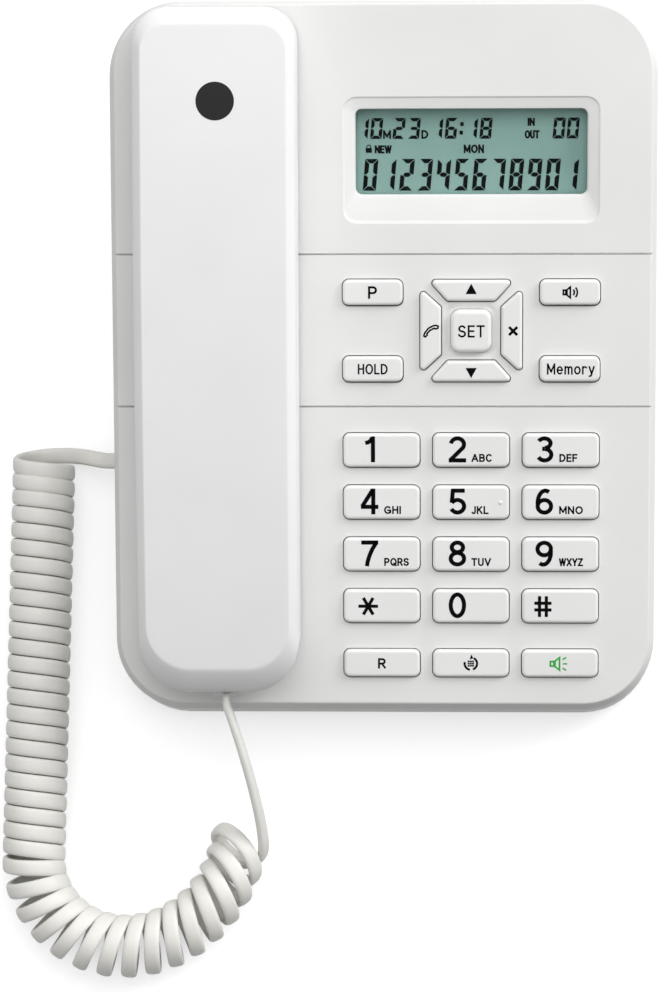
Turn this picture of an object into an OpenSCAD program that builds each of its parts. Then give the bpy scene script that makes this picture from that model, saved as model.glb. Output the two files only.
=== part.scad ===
// Corded desk phone: a wedge base with keys and a display, a handset in its cradle and a curly cord.
// Millimetres. X runs to the right, Y to the rear and Z up from the table under the middle of the base.
// Face coordinates are u to the right, v up the slope and w out of the face, from the face's middle.

/* [Base] */
// Width of the base at its foot line
base_w = 152.4; // [150:0.2:158]
// Depth of the base at its foot line
base_d = 196.6; // [195:0.2:204]
// How far each side wall leans in between the foot line and the bevel
lean_w = 0.6; // [0.2:0.1:1.2]
// How far the front wall leans in between the foot line and the bevel
front_lean = 0.6; // [0.2:0.1:2]
// How far the rear wall leans in between the foot line and the bevel
rear_lean = 2; // [1:0.1:2.4]
// Corner radius of the base in plan
base_corner_r = 20; // [14:0.5:24]
// Height of the middle of the face above the table
face_mid_z = 47; // [45:0.5:54]
// Slope of the face
face_tilt = 12; // [10:0.5:13]
// Width of the bevel round the face
bevel_w = 1.4; // [1:0.1:2.4]
// Height of the bevel round the face
bevel_h = 2.4; // [1.8:0.1:3]
// Thickness of the face and the walls
wall_t = 2.2; // [1.8:0.1:2.6]
// Thickness of the bottom plate
floor_t = 2.4; // [2.2:0.1:3]
// Height of the parting line between the two base shells
seam_z = 14; // [13.6:0.1:15]
// Width of the two grooves across the face
groove_w = 0.7; // [0.4:0.1:1.2]
// Place of the upper groove up the face
groove_upper_v = 28.2; // [27:0.1:31]
// Place of the lower groove up the face
groove_lower_v = -14.2; // [-16:0.1:-12]

/* [Feet and screws] */
// Height of the rubber feet
foot_h = 2; // [1.5:0.1:3]
// Radius of the rubber feet
foot_r = 6; // [5:0.1:6.6]
// Radius of the peg that holds each foot
foot_peg_r = 2; // [1.5:0.1:2.5]
// Distance of the feet from the base's sides
foot_side_inset = 11.7; // [11:0.1:13]
// Distance of the feet from the base's front and rear
foot_end_inset = 18.3; // [15:0.1:24]
// Shank radius of the case screws
screw_r = 1.25; // [1:0.05:1.5]
// Head radius of the case screws
screw_head_r = 2.6; // [2.2:0.05:2.8]
// Head height of the case screws
screw_head_h = 1.6; // [1.2:0.1:2]
// Length of the case screws under the head
screw_l = 9; // [7:0.5:10]
// Radius of the bosses for the case screws
boss_r = 2.9; // [2.6:0.05:3.1]
// Distance of the case screws from the base's sides
base_screw_inset = 6.6; // [6.4:0.1:7]
// Distance of the case screws from the middle, front and rear
base_screw_y = 40; // [36:0.5:42]

/* [Keys] */
// Middle of the key field across the face
field_u = 24.3; // [23.9:0.1:24.7]
// Column pitch of the digit keys
column_pitch = 24.9; // [24:0.1:25]
// Row pitch of the digit keys
row_pitch = 14.65; // [13.4:0.05:14.8]
// Place of the first digit row up the face
first_row_v = -26.3; // [-27:0.1:-25]
// Place of the lowest key row up the face
last_row_v = -86.5; // [-86.8:0.1:-86]
// Width of the digit keys
digit_w = 21.2; // [19:0.1:22]
// Height of the digit keys
digit_h = 9.35; // [8:0.05:10.5]
// Height of the keys in the lowest row
low_h = 7.7; // [7:0.1:8.4]
// Width of the function keys
function_w = 16.6; // [15:0.1:18]
// Height of the function keys
function_h = 7; // [6.5:0.1:8]
// Offset of the function keys from the middle of the field
function_offset = 27.25; // [26.8:0.05:27.5]
// Place of the upper function keys up the face
function_upper_v = 17.7; // [17:0.05:18.5]
// Place of the lower function keys up the face
function_lower_v = -3.6; // [-4:0.1:-2.5]
// Corner radius of the keys
key_corner_r = 1.7; // [1:0.1:2]
// Corner radius of the navigation keys
nav_corner_r = 0.9; // [0.7:0.1:1.7]
// Place of the navigation cluster's middle up the face
nav_v = 7; // [6.5:0.1:8]
// Reach of the navigation keys' outer edges from the cluster's middle
nav_out = 14.1; // [14:0.1:14.8]
// Reach of the navigation keys' inner edges from the cluster's middle
nav_in = 8.3; // [8.2:0.1:8.6]
// Half length of the navigation keys' outer edges
nav_out_half = 11.9; // [10.5:0.1:12]
// Half length of the navigation keys' inner edges
nav_in_half = 6.6; // [6:0.1:6.7]
// Width of the set key
set_w = 11.3; // [10:0.1:11.6]
// Height of the set key
set_h = 11.9; // [10.5:0.1:12]
// How far the set key stands above the face
set_cap_h = 2.4; // [1.8:0.1:3]
// Web between the dish and the navigation keys' holes
dish_web = 0.35; // [0.2:0.05:0.6]
// Depth of the dish round the set key
dish_depth = 0.5; // [0.2:0.1:0.8]
// How far the keys stand above the face
cap_h = 1.6; // [1.2:0.1:2.4]
// Width of the sloped edge round each key top
cap_edge = 0.6; // [0.3:0.1:0.9]
// Gap between a key and its hole
key_gap = 0.25; // [0.2:0.05:0.3]
// Width of the flange that keeps a key in its hole
flange_w = 0.7; // [0.5:0.05:0.8]
// Thickness of the flange
flange_t = 1; // [0.8:0.1:1.4]
// Gap between the flange and the inside of the face
flange_gap = 0.15; // [0.1:0.05:0.3]
// Travel of the keys
key_travel = 1; // [0.6:0.1:1.2]
// Radius of the stem under each key
stem_r = 1.8; // [1.4:0.1:2.2]
// Length of the stem under the flange
stem_l = 1.9; // [1.5:0.1:2.5]

/* [Display] */
// Width of the display window
window_w = 63.8; // [58:0.2:64.4]
// Height of the display window
window_h = 23.5; // [20:0.1:24]
// Place of the window's middle across the face
window_u = 24.3; // [24:0.1:24.6]
// Place of the window's middle up the face
window_v = 56.25; // [56:0.05:58]
// Corner radius of the window
window_r = 1.8; // [1:0.1:2.4]
// Width of the sloped frame above and beside the window
slope_side = 3.4; // [2.5:0.1:3.6]
// Width of the sloped frame below the window
slope_below = 7.8; // [6:0.1:8]
// Depth of the sloped frame
slope_depth = 2.6; // [2:0.1:3]
// How much rounder the sloped frame's corners are at the face than at the window
slope_corner = 1.2; // [0.6:0.1:1.6]
// Thickness of the rim left round the window's hole
window_rim_t = 1.4; // [1:0.1:1.8]
// Thickness of the clear window
window_t = 1.2; // [1:0.1:1.6]
// Overlap of the clear window behind its rim
window_lap = 2; // [1.2:0.1:2.2]
// Thickness of the LCD
lcd_t = 2.8; // [2:0.1:3.2]
// Wall of the LCD holder
holder_t = 1.4; // [1:0.1:1.6]
// Gap round the window and the LCD in their holder
holder_gap = 0.3; // [0.2:0.05:0.4]

/* [Board] */
// Thickness of the main board
board_t = 1.6; // [1.2:0.1:2]
// Margin from the key field's middle to the board's long edges
board_half_w = 41.5; // [41:0.1:41.7]
// Front edge of the board up the face
board_front_v = -93; // [-93.4:0.1:-92.5]
// Rear edge of the board up the face
board_rear_v = 33; // [30:0.5:34]
// Distance of the board screws from the board's long edges
board_screw_inset = 2.4; // [2.2:0.1:2.6]
// Radius of the posts that carry the board
post_r = 2.2; // [2:0.1:2.4]
// Shank radius of the board screws
post_screw_r = 0.9; // [0.7:0.05:1.1]
// Head radius of the board screws
post_head_r = 2; // [1.6:0.1:2.2]
// Shank length of the board screws
post_screw_l = 5; // [4:0.1:5.4]
// Thickness of the rubber mat's sheet
mat_t = 1; // [0.8:0.1:1.2]
// Gap left between a pressed key and its dome
dome_gap = 0.2; // [0.1:0.05:0.3]
// Radius of the domes on the mat
dome_r = 2.2; // [1.8:0.1:2.6]
// Height of the domes on the mat
dome_h = 0.6; // [0.4:0.1:0.8]

/* [Handset] */
// Length of the handset
handset_l = 189; // [187:0.5:190]
// Width of the handset
handset_w = 44.2; // [43.6:0.1:48]
// Place of the handset's middle across the face
handset_u = -45.5; // [-47:0.1:-45]
// Place of the handset's middle up the face
handset_v = 1.75; // [1:0.05:2.5]
// Height of the handset's back above the face, at its middle
handset_top_w = 22; // [21:0.1:24]
// How much lower the back is at the ends
handset_sag = 4.5; // [3:0.1:5]
// Height of the handset's rim above the face
handset_rim_w = 1; // [0.6:0.1:1.5]
// Height of the handset's parting line above the face
handset_seam_w = 6.4; // [6:0.1:6.8]
// Wall of the handset shells
handset_t = 2; // [1.8:0.1:2.2]
// Corner radius at the handset's front end
handset_front_r = 14.5; // [12:0.5:15]
// Corner radius at the handset's rear end
handset_rear_r = 9.5; // [9:0.5:12]
// Width of the bevel along the handset's sides
handset_side_bevel = 2.7; // [2.2:0.1:3]
// Width of the bevel at the handset's front end
handset_front_bevel = 7.5; // [5:0.1:8]
// Width of the bevel at the handset's rear end
handset_rear_bevel = 4.6; // [4:0.1:5]
// Drop of the bevel all round
handset_bevel_h = 4.6; // [4:0.1:5]
// Radius of the ear and mouth cups
cup_r = 19.5; // [19:0.1:19.8]
// Place of the ear cup up the face
ear_v = 70; // [69.5:0.1:70.5]
// Place of the mouth cup up the face
mouth_v = -66; // [-66.5:0.1:-65.5]
// Gap round a cup in its pocket
pocket_gap = 1; // [0.6:0.1:1.2]
// Depth of the cradle pockets
pocket_depth = 9; // [8:0.1:9.5]
// Gap under the cups in the cradle
cup_rest_gap = 0.3; // [0.2:0.05:0.4]
// Radius of the holes in the ear and mouth grilles
grille_r = 0.9; // [0.6:0.05:1.1]
// Distance between the rings of holes in the grilles
grille_pitch = 3.2; // [2.8:0.1:3.6]
// Earpiece radius
earpiece_r = 16; // [15:0.1:16.5]
// Earpiece height
earpiece_h = 7; // [6:0.1:8]
// Microphone radius
mic_r = 4.8; // [4:0.1:5]
// Microphone height
mic_h = 5; // [4.5:0.1:6]
// Wall of the rubber boot round the microphone
boot_t = 1.6; // [1:0.1:2]
// Length of the handset's steel weight
weight_l = 56; // [50:1:58]
// Width of the handset's steel weight
weight_w = 24; // [20:0.5:28]
// Thickness of the handset's steel weight
weight_t = 5; // [4:0.1:6]
// Place of the handset screws either side of its middle
handset_screw_v = 37; // [36:0.1:38]

/* [Hook] */
// Radius of the hook plunger
hook_r = 3; // [2.6:0.1:3.4]
// Rise of the hook plunger when the handset is lifted
hook_rise = 4; // [3:0.1:5]
// Gap round the plunger in its hole
hook_gap = 0.3; // [0.2:0.05:0.4]
// Width of the plunger's collar
collar_w = 1.2; // [1:0.1:1.4]
// Thickness of the plunger's collar
collar_t = 1.2; // [1:0.1:1.6]
// Radius of the plunger's lower pin
hook_pin_r = 1.5; // [1.2:0.1:1.7]
// Height of the hook spring at rest
spring_h = 8; // [7:0.1:10]
// Turns of the hook spring
spring_turns = 5; // [4:1:5]
// Wire radius of the hook spring
spring_wire_r = 0.4; // [0.3:0.05:0.45]
// Wall of the plunger's guide tube
guide_t = 1.6; // [1.2:0.1:2]
// Height of the hook switch
switch_h = 8; // [6:0.5:9]

/* [Jacks and plugs] */
// Width of a cord plug
plug_w = 7.6; // [7:0.1:7.8]
// Thickness of a cord plug
plug_t = 6.4; // [6:0.1:6.6]
// Length of a cord plug
plug_l = 11; // [10:0.1:12]
// Offset of the handset's plug to the right of the handset's middle
handset_plug_u = 1.6; // [0:0.1:3]
// How far a plug stands out of its jack's wall
plug_out = 1; // [0.5:0.1:1.5]
// Distance of the handset's jack behind its wall
jack_setback = 2; // [1.8:0.1:2.4]
// Gap round a plug in its jack
plug_gap = 0.2; // [0.15:0.05:0.3]
// Wall of the jack housings
jack_t = 1; // [0.8:0.1:1.1]
// Place of the cord jack along the base's left wall
cord_jack_y = -26.4; // [-30:0.1:-26]
// Place of the line jack along the base's rear wall
line_jack_x = 40; // [36:0.5:44]
// Width of the line jack's socket
line_socket_w = 9.7; // [9.5:0.1:10]
// Height of the line jack's socket
line_socket_h = 6.8; // [6.4:0.1:7]
// Depth of the line jack's socket
line_socket_d = 13.2; // [12:0.1:14]

/* [Battery] */
// Radius of a battery cell
cell_r = 5.25; // [5:0.05:5.3]
// Length of a battery cell
cell_l = 44.5; // [43:0.1:44.6]
// Number of cells side by side
cell_count = 3; // [2:1:3]
// Gap round the cells
cell_gap = 0.3; // [0.2:0.05:0.4]
// Thickness of the battery contacts
contact_t = 0.6; // [0.4:0.1:0.8]
// Wall of the battery bay
bay_t = 1.6; // [1.2:0.1:2]
// Place of the bay's middle across the base
bay_x = -32; // [-33:0.5:-30]
// Front edge of the battery door
door_front_y = 47; // [46:0.5:49]
// Width of the tongues along the door's sides
tongue_w = 1.2; // [1:0.1:1.5]
// Thickness of the tongues
tongue_t = 0.8; // [0.6:0.1:0.8]
// Gap round the door
door_gap = 0.2; // [0.15:0.05:0.25]

/* [Loudspeaker and wall slots] */
// Radius of the loudspeaker
speaker_r = 25; // [22:0.5:26]
// Height of the loudspeaker
speaker_h = 18; // [15:0.5:20]
// Place of the loudspeaker across the base
speaker_x = 22; // [21:0.5:24]
// Place of the loudspeaker along the base
speaker_y = 16; // [12:0.5:18]
// Thickness of the rib round the loudspeaker
speaker_rib_t = 1.5; // [1:0.1:2]
// Width of the sound slots
slot_w = 2; // [1.5:0.1:2.5]
// Distance between the wall hooks' slots
hang_pitch = 83.5; // [80:0.5:85]
// Radius of the entry hole of a wall slot
hang_entry_r = 4.5; // [4:0.1:5]
// Radius of the narrow end of a wall slot
hang_slot_r = 2.2; // [1.8:0.1:2.4]
// Length of a wall slot from the entry's middle
hang_slot_l = 9; // [8:0.5:10]
// Place of the wall slots across the base
hang_x = -20; // [-21:0.5:-19]
// Place of the wall slots' middle along the base
hang_mid_y = -11; // [-13:0.5:-10]

/* [Curly cord] */
// Width of the flat cord
cord_w = 3.5; // [3.4:0.1:3.8]
// Thickness of the flat cord
cord_t = 2.4; // [2:0.1:2.6]
// Radius of the curls at the cord's middle
curl_r = 7.9; // [7.5:0.1:8.2]
// Curls on the straight stretch
straight_curls = 24; // [20:1:25]
// Curls round the bend
bend_curls = 15; // [12:1:15]
// Pitch of the curls on the straight stretch
straight_pitch = 4.75; // [4.6:0.05:5]
// Pitch of the curls round the bend
bend_pitch = 5.85; // [5.6:0.05:6.4]
// Angle that the bend turns through
bend_angle = 172; // [165:1:176]
// How much sooner the bend turns at its start than at its end
bend_early = 0.3; // [0:0.05:0.4]
// Angle that the curls turn through round the bend
curl_angle = 138; // [130:1:145]
// How much sooner the curls turn at the bend's start than at its end
curl_early = 0.6; // [0:0.05:0.7]
// Lean of the straight stretch away from the base
cord_lean = 1; // [0:0.5:3]
// Angle that the first curl tips forward
first_tip = 12; // [0:1:22]
// Angle that the last curl tips forward
last_tip = 36; // [0:1:40]
// Clearance of the curls above the table
table_gap = 0.2; // [0.1:0.05:0.3]

/* [Hidden] */
// Small overlap for clean cuts
cut = 0.5;
// Points in a rounded corner of a key, and of a shell
corner_steps = 4;
shell_steps = 10;
$fn = 64;

// The base that the places and sizes of the layout are given for. On a base of another size they keep
// their proportions to it.
layout_w = 152.4;
layout_d = 196.6;
across = base_w / layout_w;
along = base_d / layout_d;
function fit(p) = [p.x * across, p.y * along];
function fitted(outline) = [for (q = outline) fit(q)];

// Half sizes of the base at the foot line, the bevel's lower edge and the face's edge
foot_half = [base_w / 2, base_d / 2];
side_half = foot_half - [lean_w, (front_lean + rear_lean) / 2];
face_half = side_half - [bevel_w, bevel_w];
// Middle of the upper outlines along Y, as the front and rear walls lean by different amounts
upper_mid_y = (front_lean - rear_lean) / 2;
plate_z = foot_h + floor_t;
board_top_w = -wall_t - flange_gap - flange_t - stem_l - key_travel - dome_gap - dome_h - mat_t;
pocket_floor_w = -pocket_depth;
pocket_under_w = pocket_floor_w - wall_t;
pocket_r = cup_r + pocket_gap;
cup_face_w = pocket_floor_w + cup_rest_gap;
rim_under_w = -slope_depth - window_rim_t;
screw_clear = 0.05;
hole_clear = 0.3;
pad_t = 0.7 * wall_t;
cradle_t = 0.8 * wall_t;

// Outline helpers

function unit(v) = v / norm(v);
function left_of(d) = [-d.y, d.x];
function side_dir(p, i) = unit(p[(i + 1) % len(p)] - p[i]);
function miter(p, i) =
    let (a = left_of(side_dir(p, (i + len(p) - 1) % len(p))))
    let (b = left_of(side_dir(p, i)))
    (a + b) / (1 + a * b);

// A convex outline moved outward, and the same outline with round corners
function grown(p, by) = [for (i = [0 : len(p) - 1]) p[i] - by * miter(p, i)];
function rounded(p, r, steps) = [
    for (i = [0 : len(p) - 1])
        let (a = left_of(side_dir(p, (i + len(p) - 1) % len(p))))
        let (b = left_of(side_dir(p, i)))
        let (start = atan2(-a.y, -a.x))
        let (turn = acos(max(-1, min(1, a * b))))
        for (k = [0 : steps])
            let (angle = start + turn * k / steps)
            p[i] + r * miter(p, i) + r * [cos(angle), sin(angle)]
];
function box_points(w, h) = [[-w / 2, -h / 2], [w / 2, -h / 2], [w / 2, h / 2], [-w / 2, h / 2]];
function box_between(u0, u1, v0, v1) = [[u0, v0], [u1, v0], [u1, v1], [u0, v1]];
function lifted(p, w) = [for (q = p) [q.x, q.y, w]];

// A solid through rings that all have the same number of points. A ladder cap joins mirrored points.
module loft(rings, ladder = false) {
    m = len(rings[0]);
    top = (len(rings) - 1) * m;
    function ring_side(r, i) = let (j = (i + 1) % m) [
        [r * m + i, r * m + m + i, r * m + m + j],
        [r * m + i, r * m + m + j, r * m + j]
    ];
    sides = [for (r = [0 : len(rings) - 2], i = [0 : m - 1]) each ring_side(r, i)];
    rungs = [for (i = [0 : m / 2 - 2]) each [[i, i + 1, m - 2 - i], [i, m - 2 - i, m - 1 - i]]];
    fan = [for (i = [1 : m - 2]) [0, i, i + 1]];
    bottom_cap = ladder ? rungs : fan;
    top_cap = [for (f = bottom_cap) [f[0] + top, f[2] + top, f[1] + top]];
    polyhedron(points = [for (ring = rings) each ring], faces = concat(sides, bottom_cap, top_cap));
}

// A flat prism between two heights
module prism(outline, low, high) {
    translate([0, 0, low])
        linear_extrude(high - low)
            polygon(outline);
}

// Base outline

function base_outline(half, r) = rounded(box_points(2 * half.x, 2 * half.y), r, shell_steps);
function upper_outline(half, r, drop) = [
    for (q = base_outline(half, r))
        let (y = q.y + upper_mid_y)
        [q.x, y, face_mid_z - drop + y * tan(face_tilt)]
];

module on_face() {
    translate([0, 0, face_mid_z])
        rotate([face_tilt, 0, 0])
            children();
}

function face_point(u, v, w) = [
    u,
    v * cos(face_tilt) - w * sin(face_tilt),
    face_mid_z + v * sin(face_tilt) + w * cos(face_tilt)
];

module base_body() {
    loft([
        lifted(base_outline(foot_half, base_corner_r), foot_h),
        upper_outline(side_half, base_corner_r, bevel_h),
        upper_outline(face_half, base_corner_r - bevel_w, 0)
    ]);
}

module base_hollow() {
    inset = [wall_t, wall_t];
    loft([
        lifted(base_outline(foot_half - inset, base_corner_r - wall_t), plate_z),
        upper_outline(side_half - inset, base_corner_r - wall_t, wall_t / cos(face_tilt))
    ]);
}

module slab(low, high) {
    translate([-base_w, -base_d, low])
        cube([2 * base_w, 2 * base_d, high - low]);
}

// Keys: name, middle on the face, outline about that middle, height above the face, corner radius

nav_points = [
    [-nav_in_half, nav_in],
    [nav_in_half, nav_in],
    [nav_out_half, nav_out],
    [-nav_out_half, nav_out]
];
nav_mid = (nav_in + nav_out) / 2;
function turned(p, a) = [for (q = p) [q.x * cos(a) - q.y * sin(a), q.x * sin(a) + q.y * cos(a)]];
function about(p, mid) = [for (q = p) q - mid];
function nav_key(name, a) =
    let (mid = turned([[0, nav_mid]], a)[0])
    [name, fit([field_u, nav_v] + mid), fitted(about(turned(nav_points, a), mid)), cap_h, nav_corner_r];
function box_key(name, u, v, w, h, cap = cap_h) =
    [name, fit([u, v]), fitted(box_points(w, h)), cap, key_corner_r];

digit_names = [
    ["key_1", "key_2", "key_3"],
    ["key_4", "key_5", "key_6"],
    ["key_7", "key_8", "key_9"],
    ["key_star", "key_0", "key_hash"]
];
low_names = ["key_recall", "key_redial", "key_speaker"];

function column_u(column) = field_u + (column - 1) * column_pitch;
function row_v(row) = first_row_v - row * row_pitch;

KEYS = concat(
    [for (row = [0 : 3], column = [0 : 2])
        box_key(digit_names[row][column], column_u(column), row_v(row), digit_w, digit_h)],
    [for (column = [0 : 2])
        box_key(low_names[column], column_u(column), last_row_v, digit_w, low_h)],
    [
        box_key("key_pause", field_u - function_offset, function_upper_v, function_w, function_h),
        box_key("key_volume", field_u + function_offset, function_upper_v, function_w, function_h),
        box_key("key_hold", field_u - function_offset, function_lower_v, function_w, function_h),
        box_key("key_memory", field_u + function_offset, function_lower_v, function_w, function_h),
        nav_key("key_up", 0),
        nav_key("key_answer", 90),
        nav_key("key_down", 180),
        nav_key("key_cancel", 270),
        box_key("key_set", field_u, nav_v, set_w, set_h, set_cap_h)
    ]
);

function key_outline(key, by) = rounded(grown(key[2], by), max(0.2, key[4] + by), corner_steps);

module key(key) {
    flange_top = -wall_t - flange_gap;
    flange_low = flange_top - flange_t;
    color("whitesmoke")
        on_face()
            translate([key[1].x, key[1].y, 0]) {
                loft([
                    lifted(key_outline(key, 0), flange_low),
                    lifted(key_outline(key, 0), key[3] - cap_edge),
                    lifted(key_outline(key, -cap_edge), key[3])
                ]);
                prism(key_outline(key, flange_w), flange_low, flange_top);
                translate([0, 0, flange_low - stem_l])
                    cylinder(r = stem_r, h = stem_l + flange_t / 2);
            }
}

module key_holes() {
    for (key = KEYS)
        translate([key[1].x, key[1].y, 0])
            prism(key_outline(key, key_gap), -wall_t - cut, cut);
}

module set_dish() {
    inset = key_gap + dish_web;
    half = fit([nav_in, nav_in]) - [inset, inset];
    translate(fit([field_u, nav_v]))
        prism(rounded(box_points(2 * half.x, 2 * half.y), 2 * key_corner_r, corner_steps), -dish_depth, cut);
}

module grooves() {
    half = groove_w / 2;
    for (v = [groove_upper_v, groove_lower_v])
        translate([0, v * along, 0])
            rotate([90, 0, 90])
                linear_extrude(base_w, center = true)
                    polygon([[-half, 0], [0, -half], [half, 0], [half, cut], [-half, cut]]);
}

// Display

window_points = fitted(box_points(window_w, window_h));
window_half = window_points[2];
slope_points = box_between(
    -window_half.x - slope_side,
    window_half.x + slope_side,
    -window_half.y - slope_below,
    window_half.y + slope_side
);
slope_over = -0.1;
function slope_ring(t) =
    let (p = [for (i = [0 : 3]) slope_points[i] + t * (window_points[i] - slope_points[i])])
    lifted(rounded(p, window_r + (1 - t) * slope_corner, corner_steps), -t * slope_depth);

holder_points = grown(window_points, window_lap + holder_gap);
holder_floor_w = rim_under_w - window_t - lcd_t;
ear_r = post_r;
ear_u = window_half.x + window_lap + holder_gap + holder_t + ear_r;
ear_w = rim_under_w - window_t;
window_mid = fit([window_u, window_v]);

module at_window() {
    translate(window_mid)
        children();
}

module window_cut() {
    at_window() {
        loft([slope_ring(1), slope_ring(slope_over)]);
        prism(rounded(window_points, window_r, corner_steps), rim_under_w - cut, -slope_depth + cut);
    }
}

module window_backing() {
    at_window()
        prism(grown(slope_points, window_rim_t), rim_under_w, -wall_t / 2);
}

module display_window() {
    color([0.8, 0.9, 0.88, 0.5])
        on_face()
            at_window()
                prism(grown(window_points, window_lap), rim_under_w - window_t, rim_under_w);
}

module lcd_panel() {
    color([0.51, 0.65, 0.62])
        on_face()
            at_window()
                prism(grown(window_points, window_lap), holder_floor_w, rim_under_w - window_t);
}

module lcd_holder() {
    color("gainsboro")
        on_face()
            at_window()
                difference() {
                    union() {
                        prism(grown(holder_points, holder_t), holder_floor_w - holder_t, rim_under_w);
                        for (side = [-1, 1])
                            translate([side * (ear_u - holder_t / 2), 0, ear_w - holder_t])
                                linear_extrude(holder_t)
                                    square([2 * ear_r + holder_t, 3 * ear_r], center = true);
                    }
                    prism(holder_points, holder_floor_w, rim_under_w + cut);
                    for (side = [-1, 1])
                        translate([side * ear_u, 0, ear_w - holder_t - cut])
                            cylinder(r = post_screw_r + hole_clear, h = holder_t + 2 * cut);
                }
}

// Board, mat and their screws

field_mid_u = field_u * across;
board_half = board_half_w * across;
low_gap_v = (row_v(3) - digit_h / 2 + last_row_v + low_h / 2) / 2;
board_screw_vs = [low_gap_v * along, groove_lower_v * along, board_rear_v * along - 2 * post_r];
board_screw_u = board_half - board_screw_inset;
board_screws_at = [for (side = [-1, 1], v = board_screw_vs) [field_mid_u + side * board_screw_u, v]];
holder_screws_at = [for (side = [-1, 1]) window_mid + [side * ear_u, 0]];
post_head_h = post_head_r / 2;

module main_board() {
    outline = box_between(
        field_mid_u - board_half,
        field_mid_u + board_half,
        board_front_v * along,
        board_rear_v * along
    );
    color("darkgreen")
        difference() {
            on_face()
                difference() {
                    prism(outline, board_top_w - board_t, board_top_w);
                    for (p = board_screws_at)
                        translate([p.x, p.y, board_top_w - board_t - cut])
                            cylinder(r = post_screw_r + hole_clear, h = board_t + 2 * cut);
                }
            for (p = base_screws_at)
                translate(p)
                    cylinder(r = boss_r + hole_clear, h = 2 * face_mid_z);
        }
}

module keypad_mat() {
    half_u = column_pitch + digit_w / 2 + flange_w;
    front_v = last_row_v - low_h / 2 - flange_w;
    rear_v = nav_v + nav_out + flange_w;
    sheet = fitted(box_between(field_u - half_u, field_u + half_u, front_v, rear_v));
    color("lightgrey")
        on_face() {
            difference() {
                prism(sheet, board_top_w, board_top_w + mat_t);
                for (p = board_screws_at)
                    translate([p.x, p.y, board_top_w - cut])
                        cylinder(r = post_r + hole_clear, h = mat_t + 2 * cut);
            }
            for (key = KEYS)
                translate([key[1].x, key[1].y, board_top_w + mat_t / 2])
                    cylinder(r = dome_r, h = mat_t / 2 + dome_h);
        }
}

module post_screw(seat_w) {
    translate([0, 0, seat_w])
        cylinder(r = post_screw_r, h = post_screw_l);
    translate([0, 0, seat_w - post_head_h])
        cylinder(r = post_head_r, h = post_head_h + screw_clear);
}

module board_screws() {
    color("silver")
        on_face()
            for (p = board_screws_at)
                translate([p.x, p.y, -screw_clear])
                    post_screw(board_top_w - board_t);
}

module display_screws() {
    color("silver")
        on_face()
            for (p = holder_screws_at)
                translate([p.x, p.y, -screw_clear])
                    post_screw(ear_w - holder_t);
}

module post(p, low) {
    translate([p.x, p.y, low])
        cylinder(r = post_r, h = -low - wall_t / 2);
}

module post_bore(p, low) {
    translate([p.x, p.y, low - cut])
        cylinder(r = post_screw_r + screw_clear, h = post_screw_l);
}

// Base shells

base_screw_mid = [foot_half.x - base_screw_inset, base_screw_y * along];
foot_mid = foot_half - [foot_side_inset, foot_end_inset];
function at_corners(p) = [for (x = [-1, 1], y = [-1, 1]) [x * p.x, y * p.y]];
base_screws_at = at_corners(base_screw_mid);
seat_lift = 0.6;
screw_seat_z = plate_z + seat_lift;
pad_z = screw_seat_z + wall_t;
pad_r = screw_head_r + hole_clear + pad_t;
handset_mid = fit([handset_u, handset_v]);
ear_mid = fit([handset_u, ear_v]);
mouth_mid = fit([handset_u, mouth_v]);
cup_mids = [ear_mid, mouth_mid];
guide_r = hook_r + collar_w + hook_gap;

module cradle_blocks() {
    for (p = cup_mids)
        translate([p.x, p.y, pocket_under_w])
            cylinder(r = pocket_r + cradle_t, h = -pocket_under_w - wall_t / 2);
    translate([ear_mid.x, ear_mid.y, switch_top_w])
        cylinder(r = guide_r + guide_t, h = pocket_under_w - switch_top_w + wall_t / 2);
}

module cradle_cuts() {
    for (p = cup_mids)
        translate([p.x, p.y, pocket_floor_w])
            cylinder(r = pocket_r, h = pocket_depth + cut);
    translate([ear_mid.x, ear_mid.y, switch_top_w - cut])
        cylinder(r = guide_r, h = pocket_under_w - switch_top_w + cut);
    translate([ear_mid.x, ear_mid.y, pocket_under_w - cut])
        cylinder(r = hook_r + hook_gap, h = wall_t + 2 * cut);
}

module top_shell() {
    color("white")
        difference() {
            union() {
                intersection() {
                    difference() {
                        base_body();
                        base_hollow();
                    }
                    slab(seam_z, 4 * face_mid_z);
                }
                intersection() {
                    base_body();
                    union() {
                        on_face() {
                            cradle_blocks();
                            window_backing();
                            for (p = board_screws_at)
                                post(p, board_top_w);
                            for (p = holder_screws_at)
                                post(p, ear_w);
                        }
                        for (p = base_screws_at)
                            translate([p.x, p.y, pad_z])
                                cylinder(r = boss_r, h = 2 * face_mid_z);
                    }
                }
            }
            on_face() {
                cradle_cuts();
                window_cut();
                key_holes();
                set_dish();
                grooves();
                for (p = board_screws_at)
                    post_bore(p, board_top_w);
                for (p = holder_screws_at)
                    post_bore(p, ear_w);
            }
            for (p = base_screws_at)
                translate([p.x, p.y, pad_z - cut])
                    cylinder(r = screw_r + screw_clear, h = screw_l);
        }
}

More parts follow.
